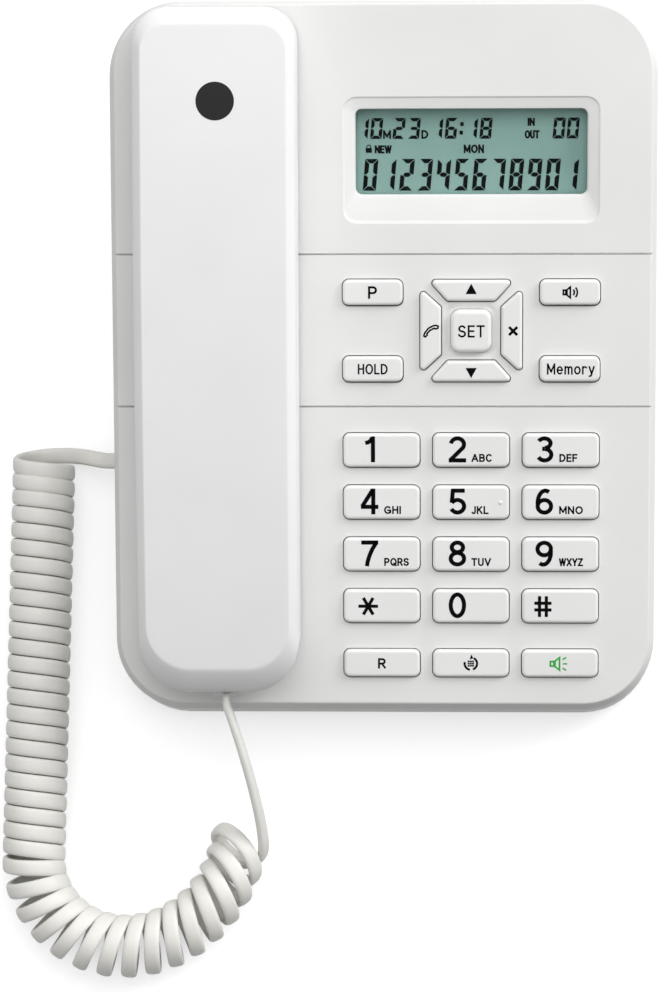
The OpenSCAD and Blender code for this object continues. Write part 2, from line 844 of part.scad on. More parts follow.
cell_pitch = 2 * (cell_r + cell_gap);
bay_half_x = cell_l / 2 + contact_t + cell_gap;
bay_d = cell_count * cell_pitch;
bay_mid_x = bay_x * across;
door_front = door_front_y * along;
bay_front_y = door_front + bay_t;
bay_top_z = plate_z + 2 * cell_r + 2 * cell_gap;
door_half_w = bay_half_x;
door_rear_y = foot_half.y - hole_clear;
jack_front_x = -foot_half.x + wall_t + lean_w;
jack_z = plate_z + jack_t + plug_gap + plug_t / 2;
line_jack_y = foot_half.y - rear_lean / 4;
line_mid_x = line_jack_x * across;
line_z = plate_z + jack_t + line_socket_h / 2;
cord_jack_mid_y = cord_jack_y * along;
hangs_at = [for (side = [-1, 1]) fit([hang_x, hang_mid_y + side * hang_pitch / 2])];
speaker_mid = fit([speaker_x, speaker_y]);
speaker_rib_r = speaker_r + hole_clear + speaker_rib_t;
speaker_rib_h = 2 * speaker_rib_t;
slots_each_side = 4;
slot_l = 1.2 * speaker_r;
cell_nub_l = 0.5;

module bottom_cuts() {
    for (p = base_screws_at) {
        translate([p.x, p.y, foot_h - cut])
            cylinder(r = screw_head_r + hole_clear, h = screw_seat_z - foot_h + cut);
        translate([p.x, p.y, foot_h])
            cylinder(r = screw_r + hole_clear, h = pad_z);
    }
    for (p = at_corners(foot_mid))
        translate([p.x, p.y, foot_h - cut])
            cylinder(r = foot_peg_r + hole_clear / 2, h = floor_t + 2 * cut);
    for (k = [-slots_each_side : slots_each_side])
        translate([speaker_mid.x - slot_l / 2, speaker_mid.y + (2 * k - 0.5) * slot_w, foot_h - cut])
            cube([slot_l, slot_w, floor_t + 2 * cut]);
    for (p = hangs_at)
        translate([p.x, p.y, foot_h - cut]) {
            cylinder(r = hang_entry_r, h = floor_t + 2 * cut);
            translate([0, hang_slot_l, 0])
                cylinder(r = hang_slot_r, h = floor_t + 2 * cut);
            translate([-hang_slot_r, 0, 0])
                cube([2 * hang_slot_r, hang_slot_l, floor_t + 2 * cut]);
        }
    door_space(door_gap, base_d);
    translate([bay_mid_x - bay_half_x, bay_front_y, plate_z - cut])
        cube([2 * bay_half_x, bay_d, bay_top_z - plate_z + cut]);
    translate([-base_w, cord_jack_mid_y - plug_w / 2 - plug_gap, jack_z - plug_t / 2 - plug_gap])
        cube([base_w + jack_front_x + cut, plug_w + 2 * plug_gap, plug_t + 2 * plug_gap]);
    line_notch_w = line_socket_w + 2 * (jack_t + plug_gap);
    translate([line_mid_x - line_notch_w / 2, foot_half.y - 2 * wall_t, plate_z])
        cube([line_notch_w, base_d, seam_z - plate_z + cut]);
}

// The door's own shape, or the space it slides in
module door_space(gap, rear_y) {
    tongue_z = foot_h + (floor_t - tongue_t) / 2;
    over = gap > 0 ? cut : 0;
    translate([bay_mid_x - door_half_w - gap, door_front - gap, foot_h - over])
        cube([2 * (door_half_w + gap), rear_y - door_front + gap, floor_t + over + gap]);
    translate([bay_mid_x - door_half_w - tongue_w - gap, door_front - gap, tongue_z - gap])
        cube([2 * (door_half_w + tongue_w + gap), rear_y - door_front + gap, tongue_t + 2 * gap]);
}

module bottom_shell() {
    color("gainsboro")
        difference() {
            union() {
                intersection() {
                    difference() {
                        base_body();
                        base_hollow();
                    }
                    slab(0, seam_z);
                }
                intersection() {
                    base_body();
                    union() {
                        for (p = base_screws_at)
                            translate([p.x, p.y, foot_h])
                                cylinder(r = pad_r, h = pad_z - foot_h);
                        translate([bay_mid_x - bay_half_x - bay_t, bay_front_y - bay_t, foot_h])
                            cube([2 * (bay_half_x + bay_t), bay_d + 2 * bay_t, bay_top_z - foot_h + bay_t]);
                        translate([speaker_mid.x, speaker_mid.y, foot_h])
                            cylinder(r = speaker_rib_r, h = floor_t + speaker_rib_h);
                    }
                }
            }
            translate([speaker_mid.x, speaker_mid.y, plate_z])
                cylinder(r = speaker_r + hole_clear, h = speaker_h);
            bottom_cuts();
        }
}

module battery_door() {
    color("gainsboro")
        door_space(0, door_rear_y);
}

module battery_cells() {
    color("forestgreen")
        for (k = [0 : cell_count - 1])
            translate([bay_mid_x, bay_front_y + (k + 0.5) * cell_pitch, plate_z + cell_r + cell_gap])
                rotate([0, 90, 0]) {
                    cylinder(r = cell_r, h = cell_l - 2 * cell_nub_l, center = true);
                    cylinder(r = cell_r / 3, h = cell_l, center = true);
                }
}

module battery_contacts() {
    low_z = plate_z + cell_gap;
    color("silver")
        for (side = [-1, 1])
            translate([
                bay_mid_x + side * (bay_half_x - contact_t / 2),
                bay_front_y + bay_d / 2,
                (low_z + bay_top_z) / 2
            ])
                cube([contact_t, bay_d - 2 * cell_gap, bay_top_z - low_z], center = true);
}

module rubber_feet() {
    color("dimgray")
        for (p = at_corners(foot_mid))
            translate(p) {
                cylinder(r = foot_r, h = foot_h);
                cylinder(r = foot_peg_r, h = foot_h + floor_t);
            }
}

module base_screws() {
    color("silver")
        for (p = base_screws_at)
            translate([p.x, p.y, screw_seat_z]) {
                translate([0, 0, -screw_head_h])
                    cylinder(r = screw_head_r, h = screw_head_h);
                cylinder(r = screw_r, h = screw_l);
            }
}

module loudspeaker() {
    rim_h = speaker_h / 12;
    cone_r = 0.8 * speaker_r;
    surround_r = 0.9 * speaker_r;
    magnet_r = 0.55 * speaker_r;
    basket_r = 0.9 * magnet_r;
    basket_h = 0.55 * speaker_h;
    color("darkslategray")
        translate([speaker_mid.x, speaker_mid.y, plate_z])
            rotate_extrude()
                polygon([
                    [0, rim_h],
                    [cone_r, rim_h],
                    [surround_r, 0],
                    [speaker_r, 0],
                    [speaker_r, rim_h],
                    [basket_r, basket_h],
                    [magnet_r, basket_h],
                    [magnet_r, speaker_h],
                    [0, speaker_h]
                ]);
}

// Hook

hook_top_w = pocket_floor_w - screw_clear;
collar_top_w = pocket_under_w - hook_rise - hole_clear;
spring_top_w = collar_top_w - collar_t - screw_clear;
switch_top_w = spring_top_w - spring_h;
spring_mid_r = (hook_pin_r + guide_r) / 2;

module at_hook() {
    on_face()
        translate(ear_mid)
            children();
}

module hook_plunger() {
    color("whitesmoke")
        at_hook() {
            translate([0, 0, collar_top_w])
                cylinder(r = hook_r, h = hook_top_w - collar_top_w);
            translate([0, 0, collar_top_w - collar_t])
                cylinder(r = hook_r + collar_w, h = collar_t);
            translate([0, 0, switch_top_w + hole_clear])
                cylinder(r = hook_pin_r, h = collar_top_w - switch_top_w - hole_clear);
        }
}

turn_rings = 8;
spring_rings = turn_rings * spring_turns;
spring_climb = spring_h - 2 * spring_wire_r;
wire_section = [for (k = [0 : 5]) spring_wire_r * [cos(60 * k), sin(60 * k)]];

module hook_spring() {
    function spring_ring(i) =
        let (angle = 360 * i / turn_rings)
        let (out = [cos(angle), sin(angle), 0])
        let (height = switch_top_w + spring_wire_r + spring_climb * i / spring_rings)
        [for (s = wire_section) out * (spring_mid_r + s.x) + [0, 0, height + s.y]];
    color("silver")
        at_hook()
            loft([for (i = [0 : spring_rings]) spring_ring(i)]);
}

module hook_switch() {
    half = guide_r + guide_t;
    color("black")
        at_hook()
            prism(box_points(2 * half, 2 * half), switch_top_w - switch_h, switch_top_w);
}

// Jacks and plugs. Each jack is a box with a socket, open to the outside.

module jack(socket_w, socket_t, socket_d) {
    difference() {
        translate([-socket_w / 2 - jack_t, 0, -socket_t / 2 - jack_t])
            cube([socket_w + 2 * jack_t, socket_d + jack_t, socket_t + 2 * jack_t]);
        translate([-socket_w / 2, -cut, -socket_t / 2])
            cube([socket_w, socket_d + cut, socket_t]);
    }
}

module line_jack() {
    color("dimgray")
        translate([line_mid_x, line_jack_y, line_z])
            rotate([0, 0, 180])
                jack(line_socket_w, line_socket_h, line_socket_d);
}

base_plug_tail_x = -foot_half.x - plug_out;
base_socket_d = base_plug_tail_x + plug_l - jack_front_x + plug_gap;

module base_cord_jack() {
    color("dimgray")
        translate([jack_front_x, cord_jack_mid_y, jack_z])
            rotate([0, 0, -90])
                jack(plug_w + 2 * plug_gap, plug_t + 2 * plug_gap, base_socket_d);
}

module base_plug() {
    color("lightgrey")
        translate([base_plug_tail_x, cord_jack_mid_y - plug_w / 2, jack_z - plug_t / 2])
            cube([plug_l, plug_w, plug_t]);
}

// Handset

handset_half = fit([handset_w / 2, handset_l / 2]);
bevel_mid_share = 0.5;
bevel_mid_drop = 0.28;
handset_steps = 6;
side_steps = 10;

function mirrored(p) = [for (i = [len(p) - 1 : -1 : 0]) [-p[i].x, p[i].y]];
function arc(mid, r, start) = [
    for (k = [0 : handset_steps])
        let (angle = start + 90 * k / handset_steps)
        mid + r * [cos(angle), sin(angle)]
];

// The handset's outline in plan, drawn in by a different amount at the sides, front and rear
function handset_outline(side, front, rear) =
    let (x = handset_half.x - side)
    let (y0 = -handset_half.y + front)
    let (y1 = handset_half.y - rear)
    let (front_r = handset_front_r - side)
    let (rear_r = handset_rear_r - side)
    let (right = concat(
        arc([x - front_r, y0 + front_r], front_r, -90),
        [for (j = [1 : side_steps - 1]) [x, y0 + front_r + (y1 - rear_r - y0 - front_r) * j / side_steps]],
        arc([x - rear_r, y1 - rear_r], rear_r, 0)
    ))
    concat(right, mirrored(right));

function back_height(y) = handset_top_w - handset_sag * pow(y / handset_half.y, 2);
function under_back(p, drop) = [for (q = p) [q.x, q.y, back_height(q.y) - drop]];
function bevel_outline(share, t) = handset_outline(
    t + share * handset_side_bevel,
    t + share * handset_front_bevel,
    t + share * handset_rear_bevel
);

module at_handset() {
    on_face()
        translate(handset_mid)
            children();
}

handset_screws_at = [-handset_screw_v * along, handset_screw_v * along];
ear_y = (ear_mid - handset_mid).y;
mouth_y = (mouth_mid - handset_mid).y;
tray_w = handset_rim_w + handset_t;
plug_mid_w = tray_w + jack_t + plug_gap + plug_w / 2;
handset_plug_tail_y = -handset_half.y - plug_out;
handset_jack_y = -handset_half.y + handset_t + jack_setback;
handset_socket_d = handset_plug_tail_y + plug_l - handset_jack_y + plug_gap;

module plug_opening() {
    translate([handset_plug_u - plug_t / 2 - plug_gap, -handset_l, plug_mid_w - plug_w / 2 - plug_gap])
        cube([plug_t + 2 * plug_gap, handset_l + handset_jack_y, plug_w + 2 * plug_gap]);
}

module handset_shape(t, low) {
    loft([
        lifted(handset_outline(t, t, t), low),
        under_back(handset_outline(t, t, t), handset_bevel_h + t),
        under_back(bevel_outline(bevel_mid_share, t), handset_bevel_h * bevel_mid_drop + t),
        under_back(bevel_outline(1, t), t)
    ], ladder = true);
}

module handset_back() {
    color("white")
        at_handset()
            difference() {
                union() {
                    difference() {
                        handset_shape(0, handset_seam_w);
                        handset_shape(handset_t, handset_seam_w - cut);
                    }
                    for (y = handset_screws_at)
                        translate([0, y, tray_w])
                            cylinder(r = boss_r, h = back_height(y) - handset_t / 2 - tray_w);
                }
                plug_opening();
                for (y = handset_screws_at)
                    translate([0, y, tray_w - cut])
                        cylinder(r = screw_r + screw_clear, h = screw_l);
            }
}

module handset_front() {
    outline = handset_outline(0, 0, 0);
    inside = handset_outline(handset_t, handset_t, handset_t);
    color("whitesmoke")
        at_handset()
            difference() {
                union() {
                    prism(outline, handset_rim_w, handset_seam_w);
                    for (y = [ear_y, mouth_y])
                        translate([0, y, cup_face_w])
                            cylinder(r = cup_r, h = handset_rim_w - cup_face_w + handset_t / 2);
                }
                prism(inside, tray_w, handset_seam_w + cut);
                for (y = [ear_y, mouth_y])
                    translate([0, y, cup_face_w]) {
                        translate([0, 0, handset_t])
                            cylinder(r = cup_r - handset_t, h = handset_seam_w - cup_face_w);
                        grille_holes();
                    }
                plug_opening();
                for (y = handset_screws_at) {
                    translate([0, y, handset_rim_w - cut])
                        cylinder(r = screw_r + hole_clear, h = handset_t + 2 * cut);
                    translate([0, y, handset_rim_w - cut])
                        cylinder(r = screw_head_r + hole_clear, h = cut + handset_t / 2);
                }
            }
}

module grille_holes() {
    for (ring = [0 : 2], k = [0 : max(0, 6 * ring - 1)])
        rotate([0, 0, 360 * k / max(1, 6 * ring)])
            translate([grille_pitch * ring, 0, -cut])
                cylinder(r = grille_r, h = handset_t + 2 * cut);
}

module handset_screws() {
    color("silver")
        at_handset()
            for (y = handset_screws_at)
                translate([0, y, handset_rim_w + handset_t / 2]) {
                    translate([0, 0, -screw_head_h / 2])
                        cylinder(r = screw_head_r, h = screw_head_h / 2);
                    cylinder(r = screw_r, h = screw_l - handset_t);
                }
}

module earpiece() {
    color("dimgray")
        at_handset()
            translate([0, ear_y, cup_face_w + handset_t])
                cylinder(r = earpiece_r, h = earpiece_h);
}

mic_floor_w = cup_face_w + handset_t;

module microphone() {
    color("silver")
        at_handset()
            translate([0, mouth_y, mic_floor_w])
                cylinder(r = mic_r, h = mic_h);
}

module microphone_boot() {
    color("black")
        at_handset()
            translate([0, mouth_y, mic_floor_w])
                difference() {
                    cylinder(r = mic_r + boot_t, h = mic_h);
                    translate([0, 0, -cut])
                        cylinder(r = mic_r, h = mic_h + 2 * cut);
                }
}

module handset_weight() {
    color("slategray")
        at_handset()
            prism(box_points(weight_w, weight_l), tray_w, tray_w + weight_t);
}

module handset_cord_jack() {
    color("dimgray")
        at_handset()
            translate([handset_plug_u, handset_jack_y, plug_mid_w])
                jack(plug_t + 2 * plug_gap, plug_w + 2 * plug_gap, handset_socket_d);
}

module handset_plug() {
    color("lightgrey")
        at_handset()
            translate([handset_plug_u - plug_t / 2, handset_plug_tail_y, plug_mid_w - plug_w / 2])
                cube([plug_t, plug_l, plug_w]);
}

// Curly cord: a flat tube that leaves the base's plug, curls along a straight stretch and a bend, and
// rises to the handset's plug. Its route outside the curls is given by points chosen by hand, measured
// from the two plugs.

base_end = [base_plug_tail_x, cord_jack_mid_y, jack_z];
base_stub = base_end - [cord_w, 0, 0];
face_v_dir = [0, cos(face_tilt), sin(face_tilt)];
handset_plug_mid = handset_mid + [handset_plug_u, handset_plug_tail_y];
handset_end = face_point(handset_plug_mid.x, handset_plug_mid.y, plug_mid_w);
handset_stub = handset_end - cord_w * face_v_dir;
function past(end, offsets) = [for (offset = offsets) end + offset];

curl_start = [base_end.x - 21.4, base_end.y + 0.2];
lead_rings = 8;
curl_rings = 8;
last_part_curl = 0.25;
all_bend_curls = bend_curls + last_part_curl;
all_curls = straight_curls + all_bend_curls;

run_dir = [-sin(cord_lean), -cos(cord_lean)];
function heading(angle) = turned([run_dir], angle)[0];
function sooner(s, early) = s + early * s * (1 - s);

// The axis that the curls go round, by the number of curls gone: straight at first, then through points
// a ring apart round the bend
bend_rings = curl_rings * all_bend_curls;
bend_step = bend_pitch / curl_rings;
function axis_dir(i) = heading(bend_angle * sooner((i + 0.5) / bend_rings, bend_early));
bend_points = [
    for (i = 0, p = curl_start + run_dir * straight_curls * straight_pitch;
        i <= bend_rings;
        p = p + bend_step * axis_dir(i), i = i + 1) p
];
function axis_at(n) = n < straight_curls
    ? curl_start + run_dir * n * straight_pitch
    : bend_points[round((n - straight_curls) * curl_rings)];

// The way that a curl faces round the bend, and the angle that it tips back. The first curls tip forward,
// those in the bend lean back, and the last ones tip forward again.
function bend_share(n) = max(0, n - straight_curls) / all_bend_curls;
function curl_dir(n) = heading(curl_angle * sooner(bend_share(n), curl_early));
first_tip_curls = 3;
upright_share = 0.7;
function curl_tip(n) =
    let (s = bend_share(n))
    let (first = max(0, 1 - n / first_tip_curls))
    last_tip * s * s * (upright_share - s) / (1 - upright_share) - first_tip * first * first;
function curl_z(n) =
    (curl_r + cord_t / 2) * cos(curl_tip(n)) + cord_w / 2 * abs(sin(curl_tip(n))) + table_gap;

// A ring of the cord's section: its middle, the way its thin side faces and the way its width lies
cord_section = [for (k = [0 : 5]) [cord_t / 2 * cos(60 * k + 30) / cos(30), cord_w / 2 * sin(60 * k + 30)]];
function section(mid, thin, wide) = [for (s = cord_section) mid + thin * s.x + wide * s.y];

function tipped(n, flat, rise) = concat(curl_dir(n) * flat, [rise]);
function curl_radial(n) =
    let (phase = 180 + 360 * n)
    let (up = tipped(n, -sin(curl_tip(n)), cos(curl_tip(n))))
    concat(left_of(curl_dir(n)) * sin(phase), [0]) + up * cos(phase);
function curl_wide(n) = tipped(n, cos(curl_tip(n)), sin(curl_tip(n)));
function curl_mid(n) = concat(axis_at(n), [curl_z(n)]) + curl_r * curl_radial(n);
function curl_section(n) = section(curl_mid(n), curl_radial(n), curl_wide(n));

// A smooth run between two places, shaped by two handles, and its direction
function bend_between(a, b, c, d, t) =
    pow(1 - t, 3) * a + 3 * t * pow(1 - t, 2) * b + 3 * t * t * (1 - t) * c + pow(t, 3) * d;
function bend_slope(a, b, c, d, t) =
    unit(pow(1 - t, 2) * (b - a) + 2 * t * (1 - t) * (c - b) + t * t * (d - c));
function crossed(thin_hint, along) = unit(cross(along, cross(thin_hint, along)));
function lead_section(a, h, d, thin_a, thin_d, t) =
    let (along = bend_slope(a, h[0], h[1], d, t))
    let (side = crossed((1 - t) * thin_a + t * thin_d, along))
    section(bend_between(a, h[0], h[1], d, t), side, cross(along, side));

base_thin = [0, 0, -1];
handset_thin = [1, 0, 0];
first_curl = curl_mid(0);
last_curl = curl_mid(all_curls);
lead_in_handles = past(base_end, [[-9, 0.6, 1.2], [-11, 2.4, -6.4]]);
lead_out_handles = [last_curl + [4, 1.5, 6], handset_end + [6, -20, -5]];
cord_rings = concat(
    [section(base_end, base_thin, [0, -1, 0])],
    [for (i = [0 : lead_rings - 1])
        lead_section(base_stub, lead_in_handles, first_curl, base_thin, curl_radial(0), i / lead_rings)],
    [for (i = [0 : curl_rings * all_curls]) curl_section(i / curl_rings)],
    [for (i = [1 : lead_rings])
        lead_section(last_curl, lead_out_handles, handset_stub, curl_radial(all_curls), handset_thin,
            i / lead_rings)],
    [section(handset_end, handset_thin, cross(face_v_dir, handset_thin))]
);

// The least distance between a curl and the next, measured on the rings' points
first_curl_ring = lead_rings + 1;
last_gap_ring = first_curl_ring + curl_rings * (all_curls - 1.5);
curl_gap = min([
    for (i = [first_curl_ring : last_gap_ring], k = [-2 : 2])
        for (a = cord_rings[i], b = cord_rings[i + curl_rings + k])
            norm(a - b)
]);

module curly_cord() {
    color("linen")
        loft(cord_rings);
    echo(least_gap_between_curls = curl_gap);
}

KEY_NODES = [for (key = KEYS) key[0]];

top_shell();
bottom_shell();
display_window();
lcd_panel();
lcd_holder();
main_board();
keypad_mat();
for (k = KEYS) key(k);
hook_plunger();
hook_spring();
hook_switch();
loudspeaker();
line_jack();
base_cord_jack();
battery_door();
battery_cells();
battery_contacts();
rubber_feet();
base_screws();
board_screws();
display_screws();
handset_back();
handset_front();
earpiece();
microphone();
microphone_boot();
handset_weight();
handset_cord_jack();
handset_screws();
curly_cord();
base_plug();
handset_plug();
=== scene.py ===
from math import acos, atan2, copysign, cos, dist, pi, radians, sin, tan

import bmesh
import bpy
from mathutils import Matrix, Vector
from mathutils.geometry import tessellate_polygon


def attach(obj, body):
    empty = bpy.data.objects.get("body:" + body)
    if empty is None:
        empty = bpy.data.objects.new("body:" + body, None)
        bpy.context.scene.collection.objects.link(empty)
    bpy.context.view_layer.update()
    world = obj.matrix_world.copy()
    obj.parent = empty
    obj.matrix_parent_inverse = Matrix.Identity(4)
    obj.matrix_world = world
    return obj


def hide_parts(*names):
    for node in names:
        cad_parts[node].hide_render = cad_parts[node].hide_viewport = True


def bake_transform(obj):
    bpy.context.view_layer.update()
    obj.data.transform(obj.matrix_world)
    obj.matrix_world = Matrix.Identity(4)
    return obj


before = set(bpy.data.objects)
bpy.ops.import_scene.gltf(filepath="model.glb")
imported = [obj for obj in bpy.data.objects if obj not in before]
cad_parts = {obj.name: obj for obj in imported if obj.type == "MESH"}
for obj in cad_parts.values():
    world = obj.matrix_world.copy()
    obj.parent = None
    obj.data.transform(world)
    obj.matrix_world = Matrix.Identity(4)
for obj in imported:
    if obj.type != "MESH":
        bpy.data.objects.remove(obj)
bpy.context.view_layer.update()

# Sizes are in millimetres, and the shared ones repeat the part's source.
MM = 0.001


def placed(name, data):
    """A new object in the scene."""
    made = bpy.data.objects.new(name, data)
    bpy.context.scene.collection.objects.link(made)
    return made


# Camera, fitted to the outline of the base in the photograph
IMAGE_HEIGHT_PX = 992
FOCAL_PX = 3633.7
SENSOR = 36.0
CAMERA_AT = (24.1, -104.95, 1050.0)
CAMERA_TURN = (3.766, 2.116, 0.196)

camera_data = bpy.data.cameras.new("camera")
camera_data.sensor_width = SENSOR
camera_data.lens = FOCAL_PX * SENSOR / IMAGE_HEIGHT_PX
camera_data.clip_start = 0.01
camera_data.clip_end = 50
camera = placed("camera", camera_data)
camera.location = Vector(CAMERA_AT) * MM
camera.rotation_euler = [radians(angle) for angle in CAMERA_TURN]
bpy.context.scene.camera = camera
bpy.context.scene.view_settings.view_transform = "Standard"

# The sloped face: u to the right, v up the slope, w out of the face
FACE_TILT = radians(12)
FACE_MID_Z = 47.0
FACE_UP = Vector((0, cos(FACE_TILT), sin(FACE_TILT)))
FACE_OUT = Vector((0, -sin(FACE_TILT), cos(FACE_TILT)))
FACE_MID = Vector((0, 0, FACE_MID_Z))
ACROSS = Vector((1, 0, 0))


def on_face(u, v, w):
    return FACE_MID + u * ACROSS + v * FACE_UP + w * FACE_OUT


# Materials
NOISE_LOW = 0.3
NOISE_HIGH = 0.7
ROUGHNESS_SPREAD = 0.05
BUMP_DEPTH = 0.03 * MM


def new_material(name):
    material = bpy.data.materials.new(name)
    material.use_nodes = True
    tree = material.node_tree
    return material, tree, tree.nodes["Principled BSDF"]


def set_inputs(tree, node, inputs):
    """Sets inputs of a node to values, or joins them to outputs of other nodes."""
    for socket, value in inputs.items():
        if isinstance(value, bpy.types.NodeSocket):
            tree.links.new(value, node.inputs[socket])
        else:
            node.inputs[socket].default_value = value


def add_node(tree, kind, inputs=None, **settings):
    node = tree.nodes.new(kind)
    for name, value in settings.items():
        setattr(node, name, value)
    set_inputs(tree, node, inputs or {})
    return node


def compute(tree, operation, *values):
    """The output of a sum on numbers and outputs."""
    return add_node(tree, "ShaderNodeMath", dict(enumerate(values)), operation=operation).outputs["Value"]


def noise(tree, scale):
    """A noise in the object's own place."""
    place = add_node(tree, "ShaderNodeTexCoord").outputs["Object"]
    return add_node(tree, "ShaderNodeTexNoise", {"Vector": place, "Scale": scale}).outputs["Fac"]


def spread(tree, source, low, high):
    """A noise's value spread between two numbers."""
    inputs = {"Value": source, "From Min": NOISE_LOW, "From Max": NOISE_HIGH, "To Min": low, "To Max": high}
    return add_node(tree, "ShaderNodeMapRange", inputs).outputs["Result"]


def moulded(
    name, colour, roughness=0.42, vary=0.03, cloud=30.0, grain=2600.0, bump=0.12,
    specular=0.5, metallic=0.0, alpha=1.0,
):
    """A moulded or printed surface: a cloudy tint, a fine grain and a roughness that follows it."""
    material, tree, shader = new_material(name)
    darker = (*[c * (1 - vary) for c in colour], 1)
    lighter = (*[min(1, c * (1 + vary)) for c in colour], 1)
    clouds = spread(tree, noise(tree, cloud), 0, 1)
    tint = add_node(tree, "ShaderNodeMix", {"Factor": clouds, "A": darker, "B": lighter}, data_type="RGBA")
    fine = noise(tree, grain)
    raised = add_node(tree, "ShaderNodeBump", {"Strength": bump, "Distance": BUMP_DEPTH, "Height": fine})
    inputs = {
        "Base Color": tint.outputs["Result"],
        "Roughness": spread(tree, fine, roughness - ROUGHNESS_SPREAD, roughness + ROUGHNESS_SPREAD),
        "Normal": raised.outputs["Normal"],
        "Specular IOR Level": specular,
        "Metallic": metallic,
        "Alpha": alpha,
    }
    set_inputs(tree, shader, inputs)
    return material


def ink(name, colour):
    """A flat printed ink."""
    return moulded(
        name, colour, roughness=0.55, vary=0.12, cloud=900.0, grain=6000.0, bump=0.05, specular=0.03
    )


SHELL_WHITE = moulded("shell_white", (0.80, 0.80, 0.79), vary=0.018, specular=0.2)
HANDSET_WHITE = moulded("handset_white", (0.84, 0.84, 0.84), roughness=0.36, vary=0.018, specular=0.25)
KEY_WHITE = moulded("key_white", (0.82, 0.82, 0.81), roughness=0.38, vary=0.02, bump=0.08, specular=0.35)
# Painted shade: a near-black colour for the keys' hidden flanges, so that the slits round the keys look
# dark.
KEY_FLANGE_PAINTED_SHADE = moulded("key_flange_painted_shade", (0.06, 0.06, 0.06), roughness=0.6, specular=0.2)
CORD_WHITE = moulded("cord_white", (0.81, 0.80, 0.76), roughness=0.45, cloud=120.0, bump=0.2)
LEGEND_BLACK = ink("legend_black", (0.002, 0.002, 0.0025))
LEGEND_GREEN = ink("legend_green", (0.06, 0.42, 0.08))
SEGMENT_DARK = ink("segment_dark", (0.002, 0.003, 0.003))
DISC_DARK = moulded("disc_dark", (0.019, 0.019, 0.02), roughness=0.4, grain=5000.0, specular=0.12)
LCD_TEAL = moulded(
    "lcd_teal", (0.235, 0.39, 0.355), roughness=0.5, vary=0.05, cloud=60.0, bump=0.03, specular=0.2
)
WINDOW_CLEAR = moulded(
    "window_clear", (0.3, 0.4, 0.4), roughness=0.05, vary=0.02, bump=0.02, specular=0.1, alpha=0.006
)
PLUG_CLEAR = moulded("plug_clear", (0.7, 0.71, 0.7), roughness=0.08, vary=0.02, bump=0.02, alpha=0.35)
INNER_PLASTIC = moulded("inner_plastic", (0.66, 0.66, 0.65), roughness=0.5)
BOARD_GREEN = moulded("board_green", (0.02, 0.14, 0.05), roughness=0.45, vary=0.15, cloud=200.0)
MAT_RUBBER = moulded("mat_rubber", (0.45, 0.45, 0.44), roughness=0.65, bump=0.3)
DARK_PLASTIC = moulded("dark_plastic", (0.035, 0.035, 0.037), roughness=0.5)
SPEAKER_DARK = moulded("speaker_dark", (0.05, 0.05, 0.055), roughness=0.6, vary=0.1, bump=0.3)
CELL_JACKET = moulded("cell_jacket", (0.03, 0.22, 0.07), roughness=0.3, vary=0.08)
STEEL = moulded("steel", (0.62, 0.62, 0.63), roughness=0.3, grain=4000.0, metallic=1.0)
FOOT_RUBBER = moulded("foot_rubber", (0.05, 0.05, 0.05), roughness=0.8, grain=1800.0, bump=0.4)

# Outlines in a plane, as lists of (x, y), counter-clockwise


def side_dir(points, i):
    a = Vector(points[i])
    b = Vector(points[(i + 1) % len(points)])
    return (b - a).normalized()


def left_of(d):
    return Vector((-d.y, d.x))


def miter(points, i):
    a = left_of(side_dir(points, i - 1))
    b = left_of(side_dir(points, i))
    return (a + b) / (1 + a.dot(b))


def grown(points, by):
    """A convex outline moved outward."""
    return [Vector(p) - by * miter(points, i) for i, p in enumerate(points)]


def rounded(points, radius, steps):
    """A convex outline with round corners, with steps + 1 points in each."""
    made = []
    for i, p in enumerate(points):
        a = left_of(side_dir(points, i - 1))
        b = left_of(side_dir(points, i))
        mid = Vector(p) + radius * miter(points, i)
        start = atan2(-a.y, -a.x)
        turn = acos(max(-1.0, min(1.0, a.dot(b))))
        for k in range(steps + 1):
            angle = start + turn * k / steps
            made.append(mid + radius * Vector((cos(angle), sin(angle))))
    return made


def box_between(x0, x1, y0, y1):
    return [(x0, y0), (x1, y0), (x1, y1), (x0, y1)]


def box_points(width, height):
    return box_between(-width / 2, width / 2, -height / 2, height / 2)


def circle(radius, steps=64):
    angles = [2 * pi * k / steps for k in range(steps)]
    return [(radius * cos(a), radius * sin(a)) for a in angles]


def oval(x, y, rx, ry, start=0.0, end=360.0, steps=20):
    """Points on an oval between two angles in degrees."""
    angles = [radians(start + (end - start) * k / steps) for k in range(steps + 1)]
    return [(x + rx * cos(a), y + ry * sin(a)) for a in angles]


def turned(p, degrees):
    c, s = cos(radians(degrees)), sin(radians(degrees))
    return Vector((p[0] * c - p[1] * s, p[0] * s + p[1] * c))


def mirrored(points, width=0.0):
    """An outline turned over from left to right, within a width."""
    return [(width - x, y) for x, y in reversed(points)]


def upended(points, height=0.0):
    """An outline turned over from top to bottom, within a height."""
    return [(x, height - y) for x, y in reversed(points)]


def face_loop(outline, mid, w):
    return [on_face(p[0] + mid[0], p[1] + mid[1], w) for p in outline]


